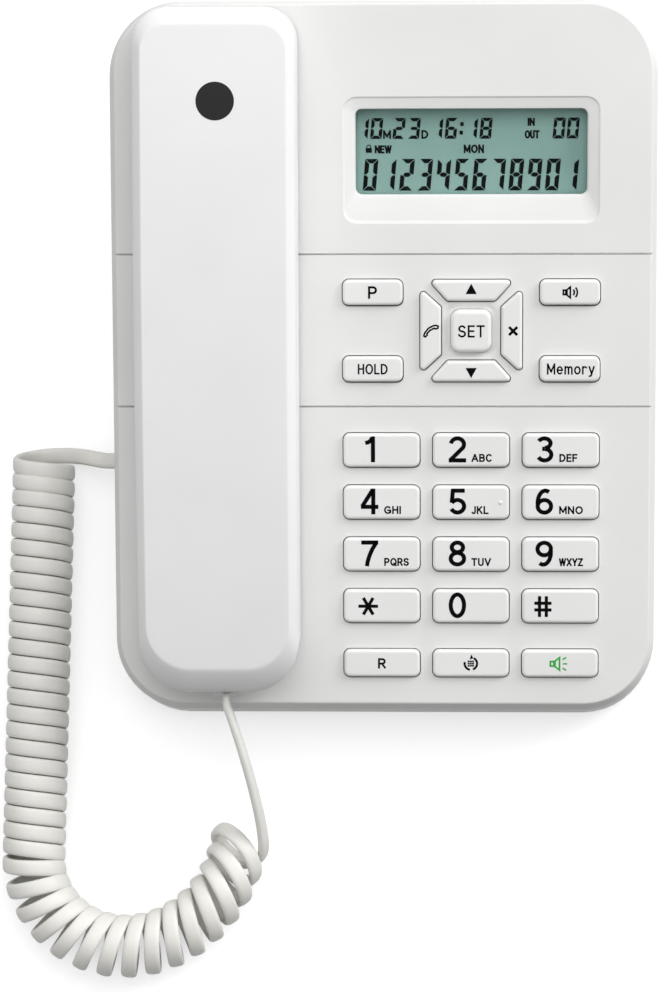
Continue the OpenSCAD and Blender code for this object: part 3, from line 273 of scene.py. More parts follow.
class Skin:
    """Points in millimetres and the faces between them, made ring by ring."""

    def __init__(self):
        self.points = []
        self.faces = []

    def ring(self, points):
        start = len(self.points)
        self.points.extend(Vector(p) for p in points)
        return list(range(start, len(self.points)))

    def bridge(self, a, b):
        for i in range(len(a)):
            j = (i + 1) % len(a)
            self.faces.append((a[i], a[j], b[j], b[i]))

    def loft(self, loops):
        """Rings through loops of equally many points, and returns the first and the last."""
        rings = [self.ring(loop) for loop in loops]
        for a, b in zip(rings, rings[1:]):
            self.bridge(a, b)
        return rings[0], rings[-1]

    def fill(self, outer, *holes):
        """A flat face inside one ring and outside others."""
        order = [i for ring in (outer, *holes) for i in ring]
        shape = [[self.points[i].xy.to_3d() for i in ring] for ring in (outer, *holes)]
        self.faces.extend(tuple(order[i] for i in corner) for corner in tessellate_polygon(shape))

    def ladder(self, ring):
        """A cap of straight rungs between mirrored points of a ring."""
        m = len(ring)
        for i in range(m // 2 - 1):
            self.faces.append((ring[i], ring[i + 1], ring[m - 2 - i], ring[m - 1 - i]))

    def closed(self, loops):
        """A solid through loops, with flat ends."""
        for ring in self.loft(loops):
            self.fill(ring)


SHARP_ANGLE = radians(35)


def piece(name, skin, material, body=None, node=None):
    """A mesh piece from a skin. It rides on a body, and may stand for a node of the frame."""
    mesh = bpy.data.meshes.new(name)
    mesh.from_pydata([p * MM for p in skin.points], [], skin.faces)
    shape = bmesh.new()
    shape.from_mesh(mesh)
    bmesh.ops.recalc_face_normals(shape, faces=shape.faces)
    shape.to_mesh(mesh)
    shape.free()
    mesh.shade_smooth()
    mesh.set_sharp_from_angle(angle=SHARP_ANGLE)
    mesh.materials.append(material)
    made = placed(name, mesh)
    even = made.modifiers.new("even_normals", "WEIGHTED_NORMAL")
    even.weight = 100
    even.keep_sharp = True
    if body:
        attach(made, body)
    if node:
        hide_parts(node)
    return made


# Curly cord. It leaves the base's plug, curls along a straight stretch and a bend, and rises to the
# handset's plug.
CORD_W = 4.5
CORD_T = 2.3
CORD_ROUNDNESS = 0.75
CORD_SIDES = 20
STUB = 3.5
CURL_R = 7.9
TABLE_GAP = 0.2
STRAIGHT_CURLS = 24
BEND_CURLS = 15.25
STRAIGHT_PITCH = 4.75
BEND_PITCH = 5.85
BEND_ANGLE = 172
BEND_EARLY = 0.3
CURL_ANGLE = 138
CURL_EARLY = 0.6
CORD_LEAN = radians(1)
FIRST_TIP = radians(12)
FIRST_TIP_CURLS = 3
LAST_TIP = radians(36)
UPRIGHT_SHARE = 0.7
CURL_STEPS = 24
LEAD_STEPS = 24
HANDSET_U = -45.5
PLUG_U = 1.6
BASE_END = Vector((-77.2, -26.4, 8.8))
HANDSET_END = on_face(HANDSET_U + PLUG_U, -93.75, 8.0)
CURL_START = BASE_END.xy + Vector((-21.4, 0.2))
UP = Vector((0, 0, 1))

run_dir = Vector((-sin(CORD_LEAN), -cos(CORD_LEAN)))
straight_steps = STRAIGHT_CURLS * CURL_STEPS
bend_steps = int(BEND_CURLS * CURL_STEPS)


def sooner(s, early):
    """A share of the bend that runs ahead at first."""
    return s + early * s * (1 - s)


# The line that the curls go round, a point for each step
axis = [CURL_START + run_dir * STRAIGHT_PITCH * k / CURL_STEPS for k in range(straight_steps + 1)]
for k in range(bend_steps):
    ahead = turned(run_dir, BEND_ANGLE * sooner((k + 0.5) / bend_steps, BEND_EARLY))
    axis.append(axis[-1] + ahead * BEND_PITCH / CURL_STEPS)


def curl(step):
    """The cord's middle, the way its thin side faces and the way its width lies, at a step of the curls."""
    n = step / CURL_STEPS
    s = max(0, step - straight_steps) / bend_steps
    ahead = turned(run_dir, CURL_ANGLE * sooner(s, CURL_EARLY))
    first = max(0, 1 - n / FIRST_TIP_CURLS)
    tip = LAST_TIP * s * s * (UPRIGHT_SHARE - s) / (1 - UPRIGHT_SHARE) - FIRST_TIP * first * first
    up = UP * cos(tip) - ahead.to_3d() * sin(tip)
    wide = ahead.to_3d() * cos(tip) + UP * sin(tip)
    phase = pi + 2 * pi * n
    radial = left_of(ahead).to_3d() * sin(phase) + up * cos(phase)
    z = (CURL_R + CORD_T / 2) * cos(tip) + CORD_W / 2 * abs(sin(tip)) + TABLE_GAP
    return axis[step].to_3d() + UP * z + CURL_R * radial, radial, wide


def lead(start, handles, end, thin_start, thin_end):
    """The same for each step of a smooth run between two places, shaped by two handles."""
    a, b, c, d = start, *handles, end
    made = []
    for k in range(LEAD_STEPS + 1):
        t = k / LEAD_STEPS
        mid = (1 - t) ** 3 * a + 3 * t * (1 - t) ** 2 * b + 3 * t * t * (1 - t) * c + t**3 * d
        ahead = ((1 - t) ** 2 * (b - a) + 2 * t * (1 - t) * (c - b) + t * t * (d - c)).normalized()
        hint = thin_start.lerp(thin_end, t)
        thin = ahead.cross(hint.cross(ahead)).normalized()
        made.append((mid, thin, ahead.cross(thin)))
    return made


base_stub = BASE_END - Vector((STUB, 0, 0))
handset_stub = HANDSET_END - STUB * FACE_UP
curl_first, radial_first, _ = curl(0)
curl_last, radial_last, _ = curl(straight_steps + bend_steps)
LEAD_IN_HANDLES = [BASE_END + Vector(p) for p in ((-9, 0.6, 1.2), (-11, 2.4, -6.4))]
LEAD_OUT_HANDLES = [curl_last + Vector((4, 1.5, 6)), HANDSET_END + Vector((6, -20, -5))]
cord_stations = [(BASE_END, -UP, Vector((0, -1, 0)))]
cord_stations += lead(base_stub, LEAD_IN_HANDLES, curl_first, -UP, radial_first)[:-1]
cord_stations += [curl(step) for step in range(len(axis))]
cord_stations += lead(curl_last, LEAD_OUT_HANDLES, handset_stub, radial_last, ACROSS)[1:]
cord_stations.append((HANDSET_END, ACROSS, FACE_UP.cross(ACROSS)))


def swollen(value):
    """A sine or cosine drawn outward, which makes an oval squarer."""
    return copysign(abs(value) ** CORD_ROUNDNESS, value)


cord_section = [
    Vector((CORD_T / 2 * swollen(x), CORD_W / 2 * swollen(y))) for x, y in circle(1, CORD_SIDES)
]
cord_skin = Skin()
cord_ends = cord_skin.loft(
    [[mid + thin * s.x + wide * s.y for s in cord_section] for mid, thin, wide in cord_stations]
)
cord_skin.faces.extend(tuple(ring) for ring in cord_ends)
cord = piece("cord", cord_skin, CORD_WHITE, node="curly_cord")
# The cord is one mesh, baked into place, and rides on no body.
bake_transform(cord)

# Keys: the middle of each on the face, its outline about that middle and its height
FIELD_U = 24.3
COLUMN_PITCH = 24.9
ROW_PITCH = 14.65
FIRST_ROW_V = -26.3
LAST_ROW_V = -86.5
DIGIT_KEY = (21.2, 9.35)
LOW_KEY = (21.2, 7.7)
FUNCTION_KEY = (16.6, 7.0)
FUNCTION_OFFSET = 27.25
FUNCTION_UPPER_V = 17.7
FUNCTION_LOWER_V = -3.6
NAV_V = 7.0
NAV_IN = 8.3
NAV_OUT = 14.1
NAV_IN_HALF = 6.6
NAV_OUT_HALF = 11.9
SET_KEY = (11.3, 11.9)
SET_CAP_H = 2.4
CAP_H = 1.6
KEY_CORNER_R = 1.7
NAV_CORNER_R = 0.9
KEY_STEPS = 6
SET_CORNER_R = 2.6
KEY_GAP = 0.25
SET_GAP = 0.1
SLIT_FRONT = 0.22
NAV_SLIT_FRONT = 0.14
FACE_T = 2.2
DIGIT_ROWS = (
    ("key_1", "key_2", "key_3"),
    ("key_4", "key_5", "key_6"),
    ("key_7", "key_8", "key_9"),
    ("key_star", "key_0", "key_hash"),
)
LOW_ROW = ("key_recall", "key_redial", "key_speaker")
FUNCTION_KEYS = {
    "key_pause": (-FUNCTION_OFFSET, FUNCTION_UPPER_V),
    "key_volume": (FUNCTION_OFFSET, FUNCTION_UPPER_V),
    "key_hold": (-FUNCTION_OFFSET, FUNCTION_LOWER_V),
    "key_memory": (FUNCTION_OFFSET, FUNCTION_LOWER_V),
}
NAV_TURNS = {"key_up": 0, "key_answer": 90, "key_down": 180, "key_cancel": 270}
NAV_POINTS = [
    (-NAV_IN_HALF, NAV_IN), (NAV_IN_HALF, NAV_IN), (NAV_OUT_HALF, NAV_OUT), (-NAV_OUT_HALF, NAV_OUT)
]

KEYS = {}
for row, names in enumerate((*DIGIT_ROWS, LOW_ROW)):
    low_row = names is LOW_ROW
    row_v = LAST_ROW_V if low_row else FIRST_ROW_V - row * ROW_PITCH
    for column, name in enumerate(names):
        mid = Vector((FIELD_U + (column - 1) * COLUMN_PITCH, row_v))
        KEYS[name] = (mid, box_points(*(LOW_KEY if low_row else DIGIT_KEY)), CAP_H)
for name, (offset, v) in FUNCTION_KEYS.items():
    KEYS[name] = (Vector((FIELD_U + offset, v)), box_points(*FUNCTION_KEY), CAP_H)
for name, angle in NAV_TURNS.items():
    nav_mid = turned((0, (NAV_IN + NAV_OUT) / 2), angle)
    outline = [turned(p, angle) - nav_mid for p in NAV_POINTS]
    KEYS[name] = (Vector((FIELD_U, NAV_V)) + nav_mid, outline, CAP_H)
KEYS["key_set"] = (Vector((FIELD_U, NAV_V)), box_points(*SET_KEY), SET_CAP_H)


def key_loop(name, by, w, front=0.0):
    """A key's outline, moved outward, and further at its front, at a height over the face."""
    mid, points, _ = KEYS[name]
    points = [Vector((p[0], p[1] - front if p[1] < 0 else p[1])) for p in points]
    radius = NAV_CORNER_R if name in NAV_TURNS else KEY_CORNER_R
    if name == "key_set":
        radius = SET_CORNER_R
    return face_loop(rounded(grown(points, by), radius + by, KEY_STEPS), mid, w)


FLANGE_W = 0.7
FLANGE_TOP = -2.35
FLANGE_LOW = -3.35
STEM_R = 1.8
STEM_L = 1.9
STEM_SIDES = 24
KEY_FILLET = 0.85
SET_FILLET = 1.25
FILLET_STEPS = 6
NUB_AT = 8.2
NUB_R = 0.55
NUB_H = 0.35
NUB_SIDES = 16
NUB_PROFILE = ((1, -0.5), (1, 0), (0.9, 0.4), (0.7, 0.7), (0.4, 0.93), (0.1, 1))

for name, (mid, _, cap) in KEYS.items():
    fillet = SET_FILLET if name == "key_set" else KEY_FILLET
    profile = [(FLANGE_W, FLANGE_LOW), (FLANGE_W, FLANGE_TOP), (0, FLANGE_TOP)]
    for k in range(FILLET_STEPS + 1):
        angle = pi / 2 * k / FILLET_STEPS
        profile.append((-fillet * (1 - cos(angle)), cap - fillet * (1 - sin(angle))))
    key_skin = Skin()
    key_skin.closed([key_loop(name, by, w) for by, w in profile])
    stem = circle(STEM_R, STEM_SIDES)
    key_skin.closed([face_loop(stem, mid, w) for w in (FLANGE_LOW - STEM_L, FLANGE_LOW)])
    if name == "key_5":
        nub_mid = mid + Vector((NUB_AT, 0))
        key_skin.closed(
            [face_loop(circle(NUB_R * r, NUB_SIDES), nub_mid, cap + NUB_H * h) for r, h in NUB_PROFILE]
        )
    cap_mesh = piece(f"{name}_cap", key_skin, KEY_WHITE, body=name, node=name).data
    if name == "key_set":
        continue
    # The flange under the face is painted dark: painted shade that makes the slit round the key look deep
    # and shadowed.
    cap_mesh.materials.append(KEY_FLANGE_PAINTED_SHADE)
    heights = [(p - FACE_MID).dot(FACE_OUT) for p in key_skin.points]
    for polygon in cap_mesh.polygons:
        if max(heights[i] for i in polygon.vertices) < FLANGE_TOP / 2:
            polygon.material_index = 1

# Top shell: a face with holes, a bevel round it and walls down to the parting line
FOOT_HALF = (76.2, 98.3)
SIDE_HALF = (75.6, 97.0)
UPPER_MID_Y = -0.7
BASE_CORNER_R = 20.0
BASE_CORNER_STEPS = 16
FOOT_Z = 2.0
SEAM_Z = 14.0
SEAM_R = 0.3
BEVEL_W = 1.6
BEVEL_H = 3.6
BEVEL_SOFT = 0.5
SOFT_STEPS = 5
GROOVES_V = (-14.2, 28.2)
GROOVE_HALF = 0.3
GROOVE_DEPTH = 1.0

groove_lines = [v + d for v in GROOVES_V for d in (-GROOVE_HALF, 0, GROOVE_HALF)]
side_reach = SIDE_HALF[1] - BASE_CORNER_R
side_shares = [(v * cos(FACE_TILT) - UPPER_MID_Y) / side_reach for v in groove_lines]
side_count = len(side_shares)
# Where the points of the right and the left side start in a ring. Each groove has three of them.
right_at = BASE_CORNER_STEPS + 1
left_at = side_count + 3 * right_at
groove_bottoms = (right_at + 1, right_at + 4, left_at + 1, left_at + 4)


def base_ring(inset, half, mid_y=0.0):
    """The base's outline in plan, from the front right corner, with points where the grooves end."""
    x, y, r = half[0] - inset, half[1] - inset, BASE_CORNER_R - inset
    made = []
    for side, end, start in ((1, -1, -90), (1, 1, 0), (-1, 1, 90), (-1, -1, 180)):
        made += oval(side * (x - r), end * (y - r), r, r, start, start + 90, BASE_CORNER_STEPS)
        if side > 0 > end:
            made.extend((x, share * (y - r)) for share in side_shares)
        if side < 0 < end:
            made.extend((-x, share * (y - r)) for share in reversed(side_shares))
    return [(px, mid_y + py) for px, py in made]


def slope_z(y):
    return FACE_MID_Z + y * tan(FACE_TILT)


def edge_ring(inset, drop):
    """A ring of the face's rounded edge, dipping where the grooves end."""
    made = []
    for i, (x, y) in enumerate(base_ring(inset, SIDE_HALF, UPPER_MID_Y)):
        depth = max(drop, GROOVE_DEPTH) if i in groove_bottoms else drop
        made.append((x, y, slope_z(y) - depth))
    return made


def wall_ring(inset, z=None, under=0.0):
    """A ring of the wall, at a height, or some way under the bevel."""
    made = []
    upper = base_ring(inset, SIDE_HALF, UPPER_MID_Y)
    for (sx, sy), (fx, fy) in zip(upper, base_ring(inset, FOOT_HALF)):
        top = slope_z(sy) - BEVEL_H
        height = top - under if z is None else z
        t = (height - FOOT_Z) / (top - FOOT_Z)
        made.append((fx + (sx - fx) * t, fy + (sy - fy) * t, height))
    return made


def soft_corner(corner, back, ahead):
    """Points that round a corner of a profile, whose sides run back and ahead from it."""
    before, after = corner + BEVEL_SOFT * back, corner + BEVEL_SOFT * ahead
    shares = [k / SOFT_STEPS for k in range(SOFT_STEPS + 1)]
    return [(1 - t) ** 2 * before + 2 * t * (1 - t) * corner + t * t * after for t in shares]


bevel_dir = Vector((-BEVEL_W, BEVEL_H)).normalized()
bevel_profile = soft_corner(Vector((BEVEL_W, 0)), Vector((1, 0)), bevel_dir)
bevel_profile += soft_corner(Vector((0, BEVEL_H)), -bevel_dir, Vector((0, 1)))
shell_loops = [edge_ring(p.x, p.y) for p in bevel_profile[:-1]]
shell_loops += [
    wall_ring(0, under=BEVEL_SOFT),
    wall_ring(0, z=SEAM_Z + SEAM_R),
    wall_ring(SEAM_R, z=SEAM_Z),
    wall_ring(FACE_T, z=SEAM_Z),
    edge_ring(FACE_T, FACE_T / cos(FACE_TILT)),
]
shell = Skin()
face_edge, under_edge = shell.loft(shell_loops)

# Holes: rings from the face down to its underside
HOLE_SOFT = 0.1
# How far the middle of a round edge stays from its corner, as a share of the radius
ROUND_MID = 0.3
under_holes = []
panel_holes = [[], [], []]


def hole(v, loops):
    """A hole through the face, whose first loop is on the face and whose last is on its underside."""
    first, last = shell.loft(loops)
    panel = sum(v > groove for groove in GROOVES_V)
    panel_holes[panel].append(first)
    under_holes.append(last)


def round_edge(soft):
    """The profile of a hole's round edge: how far out each point lies, and how high."""
    mid = ROUND_MID * soft
    return [(soft, 0), (mid, -mid), (0, -soft)]


hole_profile = [*round_edge(HOLE_SOFT), (0, -FACE_T)]
for name, (mid, _, _) in KEYS.items():
    if name != "key_set":
        front = NAV_SLIT_FRONT if name in NAV_TURNS else SLIT_FRONT
        hole(mid.y, [key_loop(name, KEY_GAP + by, w, front) for by, w in hole_profile])

# The dish round the set key
DISH_HALF = 7.6
DISH_R = 3.4
DISH_DEPTH = 0.5
DISH_PROFILE = ((0, 0), (0.25, 0.05), (0.55, 0.2), (0.85, 0.36), (1.1, 0.46), (1.3, DISH_DEPTH))
dish_loops = []
for inset, depth in DISH_PROFILE:
    size = 2 * (DISH_HALF - inset)
    dish_loops.append(
        face_loop(rounded(box_points(size, size), DISH_R - inset, KEY_STEPS), KEYS["key_set"][0], -depth)
    )
dish_loops += [key_loop("key_set", SET_GAP, w, NAV_SLIT_FRONT) for w in (-DISH_DEPTH, -FACE_T)]
hole(NAV_V, dish_loops)

# The sloped frame round the display window
WINDOW = (63.8, 23.5)
WINDOW_MID = Vector((FIELD_U, 56.25))
WINDOW_R = 1.8
SLOPE_SIDE = 3.4
SLOPE_BELOW = 7.8
SLOPE_CORNER = 1.9
SLOPE_SOFT = 0.12
FRAME_STEP = 0.4
FRAME_STEP_SHARE = 0.1
FRAME_DEPTH = 1.7
FRAME_TOP_DEPTH = 0.95
FRAME_CURVE = 1.1
FRAME_SHARES = (FRAME_STEP_SHARE, 0.12, 0.24, 0.36, 0.48, 0.6, 0.72, 0.83, 0.93)
RIM_DROP = 0.15
RIM_UNDER_W = -4.0
BACKING = 1.4
window_points = [Vector(p) for p in box_points(*WINDOW)]
slope_sides = box_between(-SLOPE_SIDE, SLOPE_SIDE, -SLOPE_BELOW, SLOPE_SIDE)
slope_points = [p + Vector(side) for p, side in zip(window_points, slope_sides)]


def slope_loop(t):
    """A ring of the sloped frame, from the face at 0 to the window's edge at 1."""
    points = [a.lerp(b, t) for a, b in zip(slope_points, window_points)]
    fall = ((t - FRAME_STEP_SHARE) / (1 - FRAME_STEP_SHARE)) ** FRAME_CURVE
    made = []
    for p in rounded(points, WINDOW_R + (1 - t) * SLOPE_CORNER, KEY_STEPS):
        rise = min(max(p.y / WINDOW[1] + 0.5, 0), 1)
        depth = FRAME_DEPTH + (FRAME_TOP_DEPTH - FRAME_DEPTH) * rise
        made.append(on_face(*(p + WINDOW_MID), -FRAME_STEP - (depth - FRAME_STEP) * fall))
    return made


def window_loop(points, radius, w):
    return face_loop(rounded(points, radius, KEY_STEPS), WINDOW_MID, w)


def frame_loop(by, w):
    """The frame's outer edge, moved outward."""
    return window_loop(grown(slope_points, by), WINDOW_R + SLOPE_CORNER + by, w)


window_loops = [
    frame_loop(SLOPE_SOFT, 0),
    frame_loop(ROUND_MID * SLOPE_SOFT, -SLOPE_SOFT / 2),
    *[slope_loop(t) for t in FRAME_SHARES],
    window_loop(window_points, WINDOW_R, -FRAME_DEPTH - RIM_DROP),
    window_loop(window_points, WINDOW_R, RIM_UNDER_W),
    frame_loop(BACKING, RIM_UNDER_W),
    frame_loop(BACKING, -FACE_T),
]
hole(WINDOW_MID.y, window_loops)

# The cradle's two pockets, one with a hole for the hook plunger
EAR_V = 70.0
MOUTH_V = -66.0
POCKET_R = 20.5
POCKET_D = 9.0
POCKET_SOFT = 0.6
POCKET_T = 1.76
HOOK_HOLE_R = 3.3
pocket_under = -POCKET_D - FACE_T
pocket_edge = round_edge(POCKET_SOFT)
pocket_profile = [(POCKET_R + by, w) for by, w in pocket_edge]
pocket_profile += [(POCKET_R - by, -POCKET_D - w) for by, w in reversed(pocket_edge)]
cup_profile = [(POCKET_R + POCKET_T, pocket_under), (POCKET_R + POCKET_T, -FACE_T)]
hook_profile = [(HOOK_HOLE_R, -POCKET_D), (HOOK_HOLE_R, pocket_under)]


def pocket_loops(v, profile):
    return [face_loop(circle(r), (HANDSET_U, v), w) for r, w in profile]


hole(EAR_V, pocket_loops(EAR_V, pocket_profile + hook_profile + cup_profile))
mouth_top, mouth_floor = shell.loft(pocket_loops(MOUTH_V, pocket_profile))
mouth_under, mouth_cup = shell.loft(pocket_loops(MOUTH_V, cup_profile))
shell.fill(mouth_floor)
shell.fill(mouth_under)
panel_holes[0].append(mouth_top)
under_holes.append(mouth_cup)

# The three panels of the face, the grooves between them and the underside
right = face_edge[right_at:right_at + side_count]
left = face_edge[left_at:left_at + side_count][::-1]
front_edge = face_edge[left_at + side_count:] + face_edge[:right_at]
rear_edge = face_edge[right_at + side_count:left_at]
shell.fill(front_edge + [right[0], left[0]], *panel_holes[0])
shell.fill([right[2], right[3], left[3], left[2]], *panel_holes[1])
shell.fill([left[5], right[5]] + rear_edge, *panel_holes[2])
# Both slopes of each groove
for k in (0, 1, 3, 4):
    shell.faces.append((left[k], right[k], right[k + 1], left[k + 1]))
shell.fill(under_edge, *under_holes)
piece("top_shell_skin", shell, SHELL_WHITE, body="base", node="top_shell")

# Handset back: an arched plateau, a soft bevel and a wall down to the parting line
HANDSET_MID = Vector((HANDSET_U, 1.75))
HANDSET_HALF = (22.1, 94.5)
HANDSET_TOP = 22.0
HANDSET_SAG = 4.5
HANDSET_SEAM = 6.4
HANDSET_SEAM_R = 0.35
HANDSET_T = 2.0
FRONT_R = 14.5
REAR_R = 9.5
SIDE_BEVEL = 2.4
FRONT_BEVEL = 7.5
REAR_BEVEL = 4.6
BEVEL_DROP = 2.4
FRONT_STEEPER = 1.3
FRONT_STEEPER_POWER = 6
END_STEPS = 16
ALONG_STEPS = 30
# Steps over the bevel: a share of its width, and how far it lies under the plateau
BEVEL_SHARES = (
    (0, 3.0), (0, 2.4), (0.04, 2.12), (0.12, 1.85), (0.25, 1.52), (0.42, 1.12),
    (0.6, 0.72), (0.77, 0.38), (0.9, 0.15), (0.97, 0.05), (1.03, 0.01), (1.1, 0),
)
# The same inside the shell, as shares of the bevel's whole drop
INNER_SHARES = ((1, 0), (0.5, 0.28), (0, 1))


def handset_ring(side, front, rear):
    """The handset's outline in plan, drawn in by different amounts, right half first, then the left."""
    x = HANDSET_HALF[0] - side
    low, high = -HANDSET_HALF[1] + front, HANDSET_HALF[1] - rear
    front_r, rear_r = FRONT_R - side, REAR_R - side
    start, end = low + front_r, high - rear_r
    made = oval(x - front_r, start, front_r, front_r, -90, 0, END_STEPS)
    made += [(x, start + (end - start) * k / ALONG_STEPS) for k in range(1, ALONG_STEPS)]
    made += oval(x - rear_r, end, rear_r, rear_r, 0, 90, END_STEPS)
    return made + mirrored(made)


def back_height(y):
    return HANDSET_TOP - HANDSET_SAG * (y / HANDSET_HALF[1]) ** 2


def handset_loop(ring, height):
    """A ring of the handset, at a height over the face that may change along it."""
    return [on_face(HANDSET_MID.x + x, HANDSET_MID.y + y, height(y)) for x, y in ring]


def front_steeper(y):
    """How many times deeper the bevel falls, more and more towards the front end."""
    return 1 + FRONT_STEEPER * max(0, -y / HANDSET_HALF[1]) ** FRONT_STEEPER_POWER


def bevel_loop(share, drop, inset=0.0):
    ring = handset_ring(
        inset + share * SIDE_BEVEL, inset + share * FRONT_BEVEL, inset + share * REAR_BEVEL
    )
    return handset_loop(ring, lambda y: back_height(y) - drop * front_steeper(y) - inset)


def seam_loop(inset, w):
    return handset_loop(handset_ring(inset, inset, inset), lambda y: w)


handset = Skin()
handset_loops = [bevel_loop(share, drop * BEVEL_DROP, HANDSET_T) for share, drop in INNER_SHARES]
handset_loops += [
    seam_loop(HANDSET_T, HANDSET_SEAM),
    seam_loop(HANDSET_SEAM_R, HANDSET_SEAM),
    seam_loop(0, HANDSET_SEAM + HANDSET_SEAM_R),
]
handset_loops += [bevel_loop(share, drop) for share, drop in BEVEL_SHARES]
for top in handset.loft(handset_loops):
    handset.ladder(top)
handset_back = piece(
    "handset_back_skin", handset, HANDSET_WHITE, body="handset", node="handset_back"
)

# The opening for the cord's plug is cut out of the handset's front end.
PLUG_OPENING_HALF = 3.4
PLUG_OPENING = (PLUG_U - PLUG_OPENING_HALF, PLUG_U + PLUG_OPENING_HALF, -98.0, -90.5)
PLUG_OPENING_W = (4.0, 12.0)
cutter_skin = Skin()
cutter_skin.closed([face_loop(box_between(*PLUG_OPENING), HANDSET_MID, w) for w in PLUG_OPENING_W])
cutter = piece("cutter", cutter_skin, HANDSET_WHITE, body="handset")
cut = handset_back.modifiers.new("plug_opening", "BOOLEAN")
cut.object = cutter
cut.solver = "EXACT"
handset_back.modifiers.move(1, 0)
graph = bpy.context.evaluated_depsgraph_get()
cut_mesh = bpy.data.meshes.new_from_object(handset_back.evaluated_get(graph))
handset_back.modifiers.remove(cut)
handset_back.data = cut_mesh
handset_back.data.set_sharp_from_angle(angle=SHARP_ANGLE)
bpy.data.objects.remove(cutter)

# A plain dark disc near the handset's rear end
DISC_MID = Vector((-44.9, 71.1))
DISC_R = 5.2
DISC_RISE = 0.06
DISC_SINK = 0.2
DISC_EDGE = 0.1
DISC_EDGE_RISE = 0.036
DISC_PROFILE = (
    (DISC_R, -DISC_SINK), (DISC_R, DISC_EDGE_RISE), (DISC_R - DISC_EDGE, DISC_RISE), (DISC_R / 2, DISC_RISE)
)


def disc_loop(radius, rise):
    """A ring on the handset's arched back, round the disc's middle."""
    ring = [DISC_MID + Vector(p) for p in circle(radius)]
    return [on_face(p.x, p.y, back_height(p.y - HANDSET_MID.y) + rise) for p in ring]


disc = Skin()
disc.closed([disc_loop(radius, rise) for radius, rise in DISC_PROFILE])
piece("handset_disc", disc, DISC_DARK, body="handset")

# Clear window and the display's segments
WINDOW_LAP = 2.0
WINDOW_LOW_W = -5.1
LCD_TOP_W = -5.2
SEGMENT_RISE = 0.05
WINDOW_EDGE = 0.1
WINDOW_CORNER = 0.5
WINDOW_GAP = 0.02
window_rings = (
    (-WINDOW_EDGE, WINDOW_LOW_W),
    (0, WINDOW_LOW_W + WINDOW_EDGE),
    (0, RIM_UNDER_W - WINDOW_GAP - WINDOW_EDGE),
    (-WINDOW_EDGE, RIM_UNDER_W - WINDOW_GAP),
)
window = Skin()
window.closed(
    [window_loop(grown(window_points, WINDOW_LAP + by), WINDOW_CORNER + by, w) for by, w in window_rings]
)
piece("clear_window", window, WINDOW_CLEAR, body="base", node="display_window")

SEGMENTS_OF = {
    "0": "abcdef", "1": "bc", "2": "abged", "3": "abgcd", "4": "fgbc",
    "5": "afgcd", "6": "afgecd", "7": "abc", "8": "abcdefg", "9": "abcdfg",
}
SEGMENT_SLANT = 0.09


def segment_shapes(width, height, thick, gap):
    """The seven bars of a display digit, by letter."""
    t, g, m = thick, gap, height / 2
    a = [(g, height), (t + g, height - t), (width - t - g, height - t), (width - g, height)]
    f = [(0, height - g), (0, m + g), (t / 2, m + g), (t, m + t / 2 + g), (t, height - t - g)]
    g_bar = [(t / 2 + g, m), (t + g, m - t / 2), (width - t - g, m - t / 2)]
    g_bar += [(width - t / 2 - g, m), (width - t - g, m + t / 2), (t + g, m + t / 2)]
    e = upended(f, height)
    return {
        "a": a, "d": upended(a, height), "g": g_bar,
        "f": f, "b": mirrored(f, width), "e": e, "c": mirrored(e, width),
    }


def flat_plate(skin, span, outline, *holes):
    """A thin plate on the face, between two heights."""
    edges = [skin.loft([face_loop(loop, (0, 0), w) for w in span]) for loop in (outline, *holes)]
    for rings in zip(*edges):
        skin.fill(*rings)


segments = Skin()
segment_span = (LCD_TOP_W, LCD_TOP_W + SEGMENT_RISE)


def lcd_plate(outline):
    """A dark shape on the display, in coordinates from the window's middle."""
    flat_plate(segments, segment_span, [Vector(p) + WINDOW_MID for p in outline])


SMALL_DIGIT = (3.2, 5.75, 0.92, 0.1)
LARGE_DIGIT = (3.65, 8.75, 1.2, 0.12)
SMALL_V = 3.42
LARGE_V = -10.85
SMALL_ROW = (
    ("1", -31.9), ("0", -28.0), ("2", -21.8), ("3", -17.65), ("1", -11.4),
    ("6", -7.4), ("1", -1.8), ("8", 2.2), ("0", 22.35), ("0", 26.2),
)
LARGE_ROW_U = -30.1
LARGE_PITCH = 5.04
LARGE_ROW = [(digit, LARGE_ROW_U + k * LARGE_PITCH) for k, digit in enumerate("012345678901")]
for digits, size, v in ((SMALL_ROW, SMALL_DIGIT, SMALL_V), (LARGE_ROW, LARGE_DIGIT, LARGE_V)):
    shapes = segment_shapes(*size)
    for digit, u in digits:
        for bar in SEGMENTS_OF[digit]:
            lcd_plate([(u + x + SEGMENT_SLANT * y, v + y) for x, y in shapes[bar]])
COLON = ((-2.6, 7.45), (-2.8, 5.1))
COLON_SIZE = (0.95, 1.05)
for u, v in COLON:
    lcd_plate([(u + x, v + y) for x, y in box_points(*COLON_SIZE)])
LOCK_BODY = (-29.2, -27.5, -0.4, 0.95)
LOCK_BOW = (-28.35, 1.2)
LOCK_ENDS = (-25, 205)
LOCK_R = 0.55
LOCK_LINE = 0.28
ARC_STEPS = 12


def arc_band(mid, radius, line, start, end):
    """A band along an arc."""
    outer, inner = radius + line / 2, radius - line / 2
    return oval(*mid, outer, outer, start, end, ARC_STEPS) + oval(*mid, inner, inner, end, start, ARC_STEPS)


lcd_plate(box_between(*LOCK_BODY))
lcd_plate(arc_band(LOCK_BOW, LOCK_R, LOCK_LINE, *LOCK_ENDS))

# Lines drawn on the face
LONGEST_CORNER = 1.35
TOUCHING = 1e-6
LETTER_SPACE = 0.34
CAP_SHARE = 0.48
BOWL_SHARE = 0.9
BOWL_STEPS = 10
RING_STEPS = 28


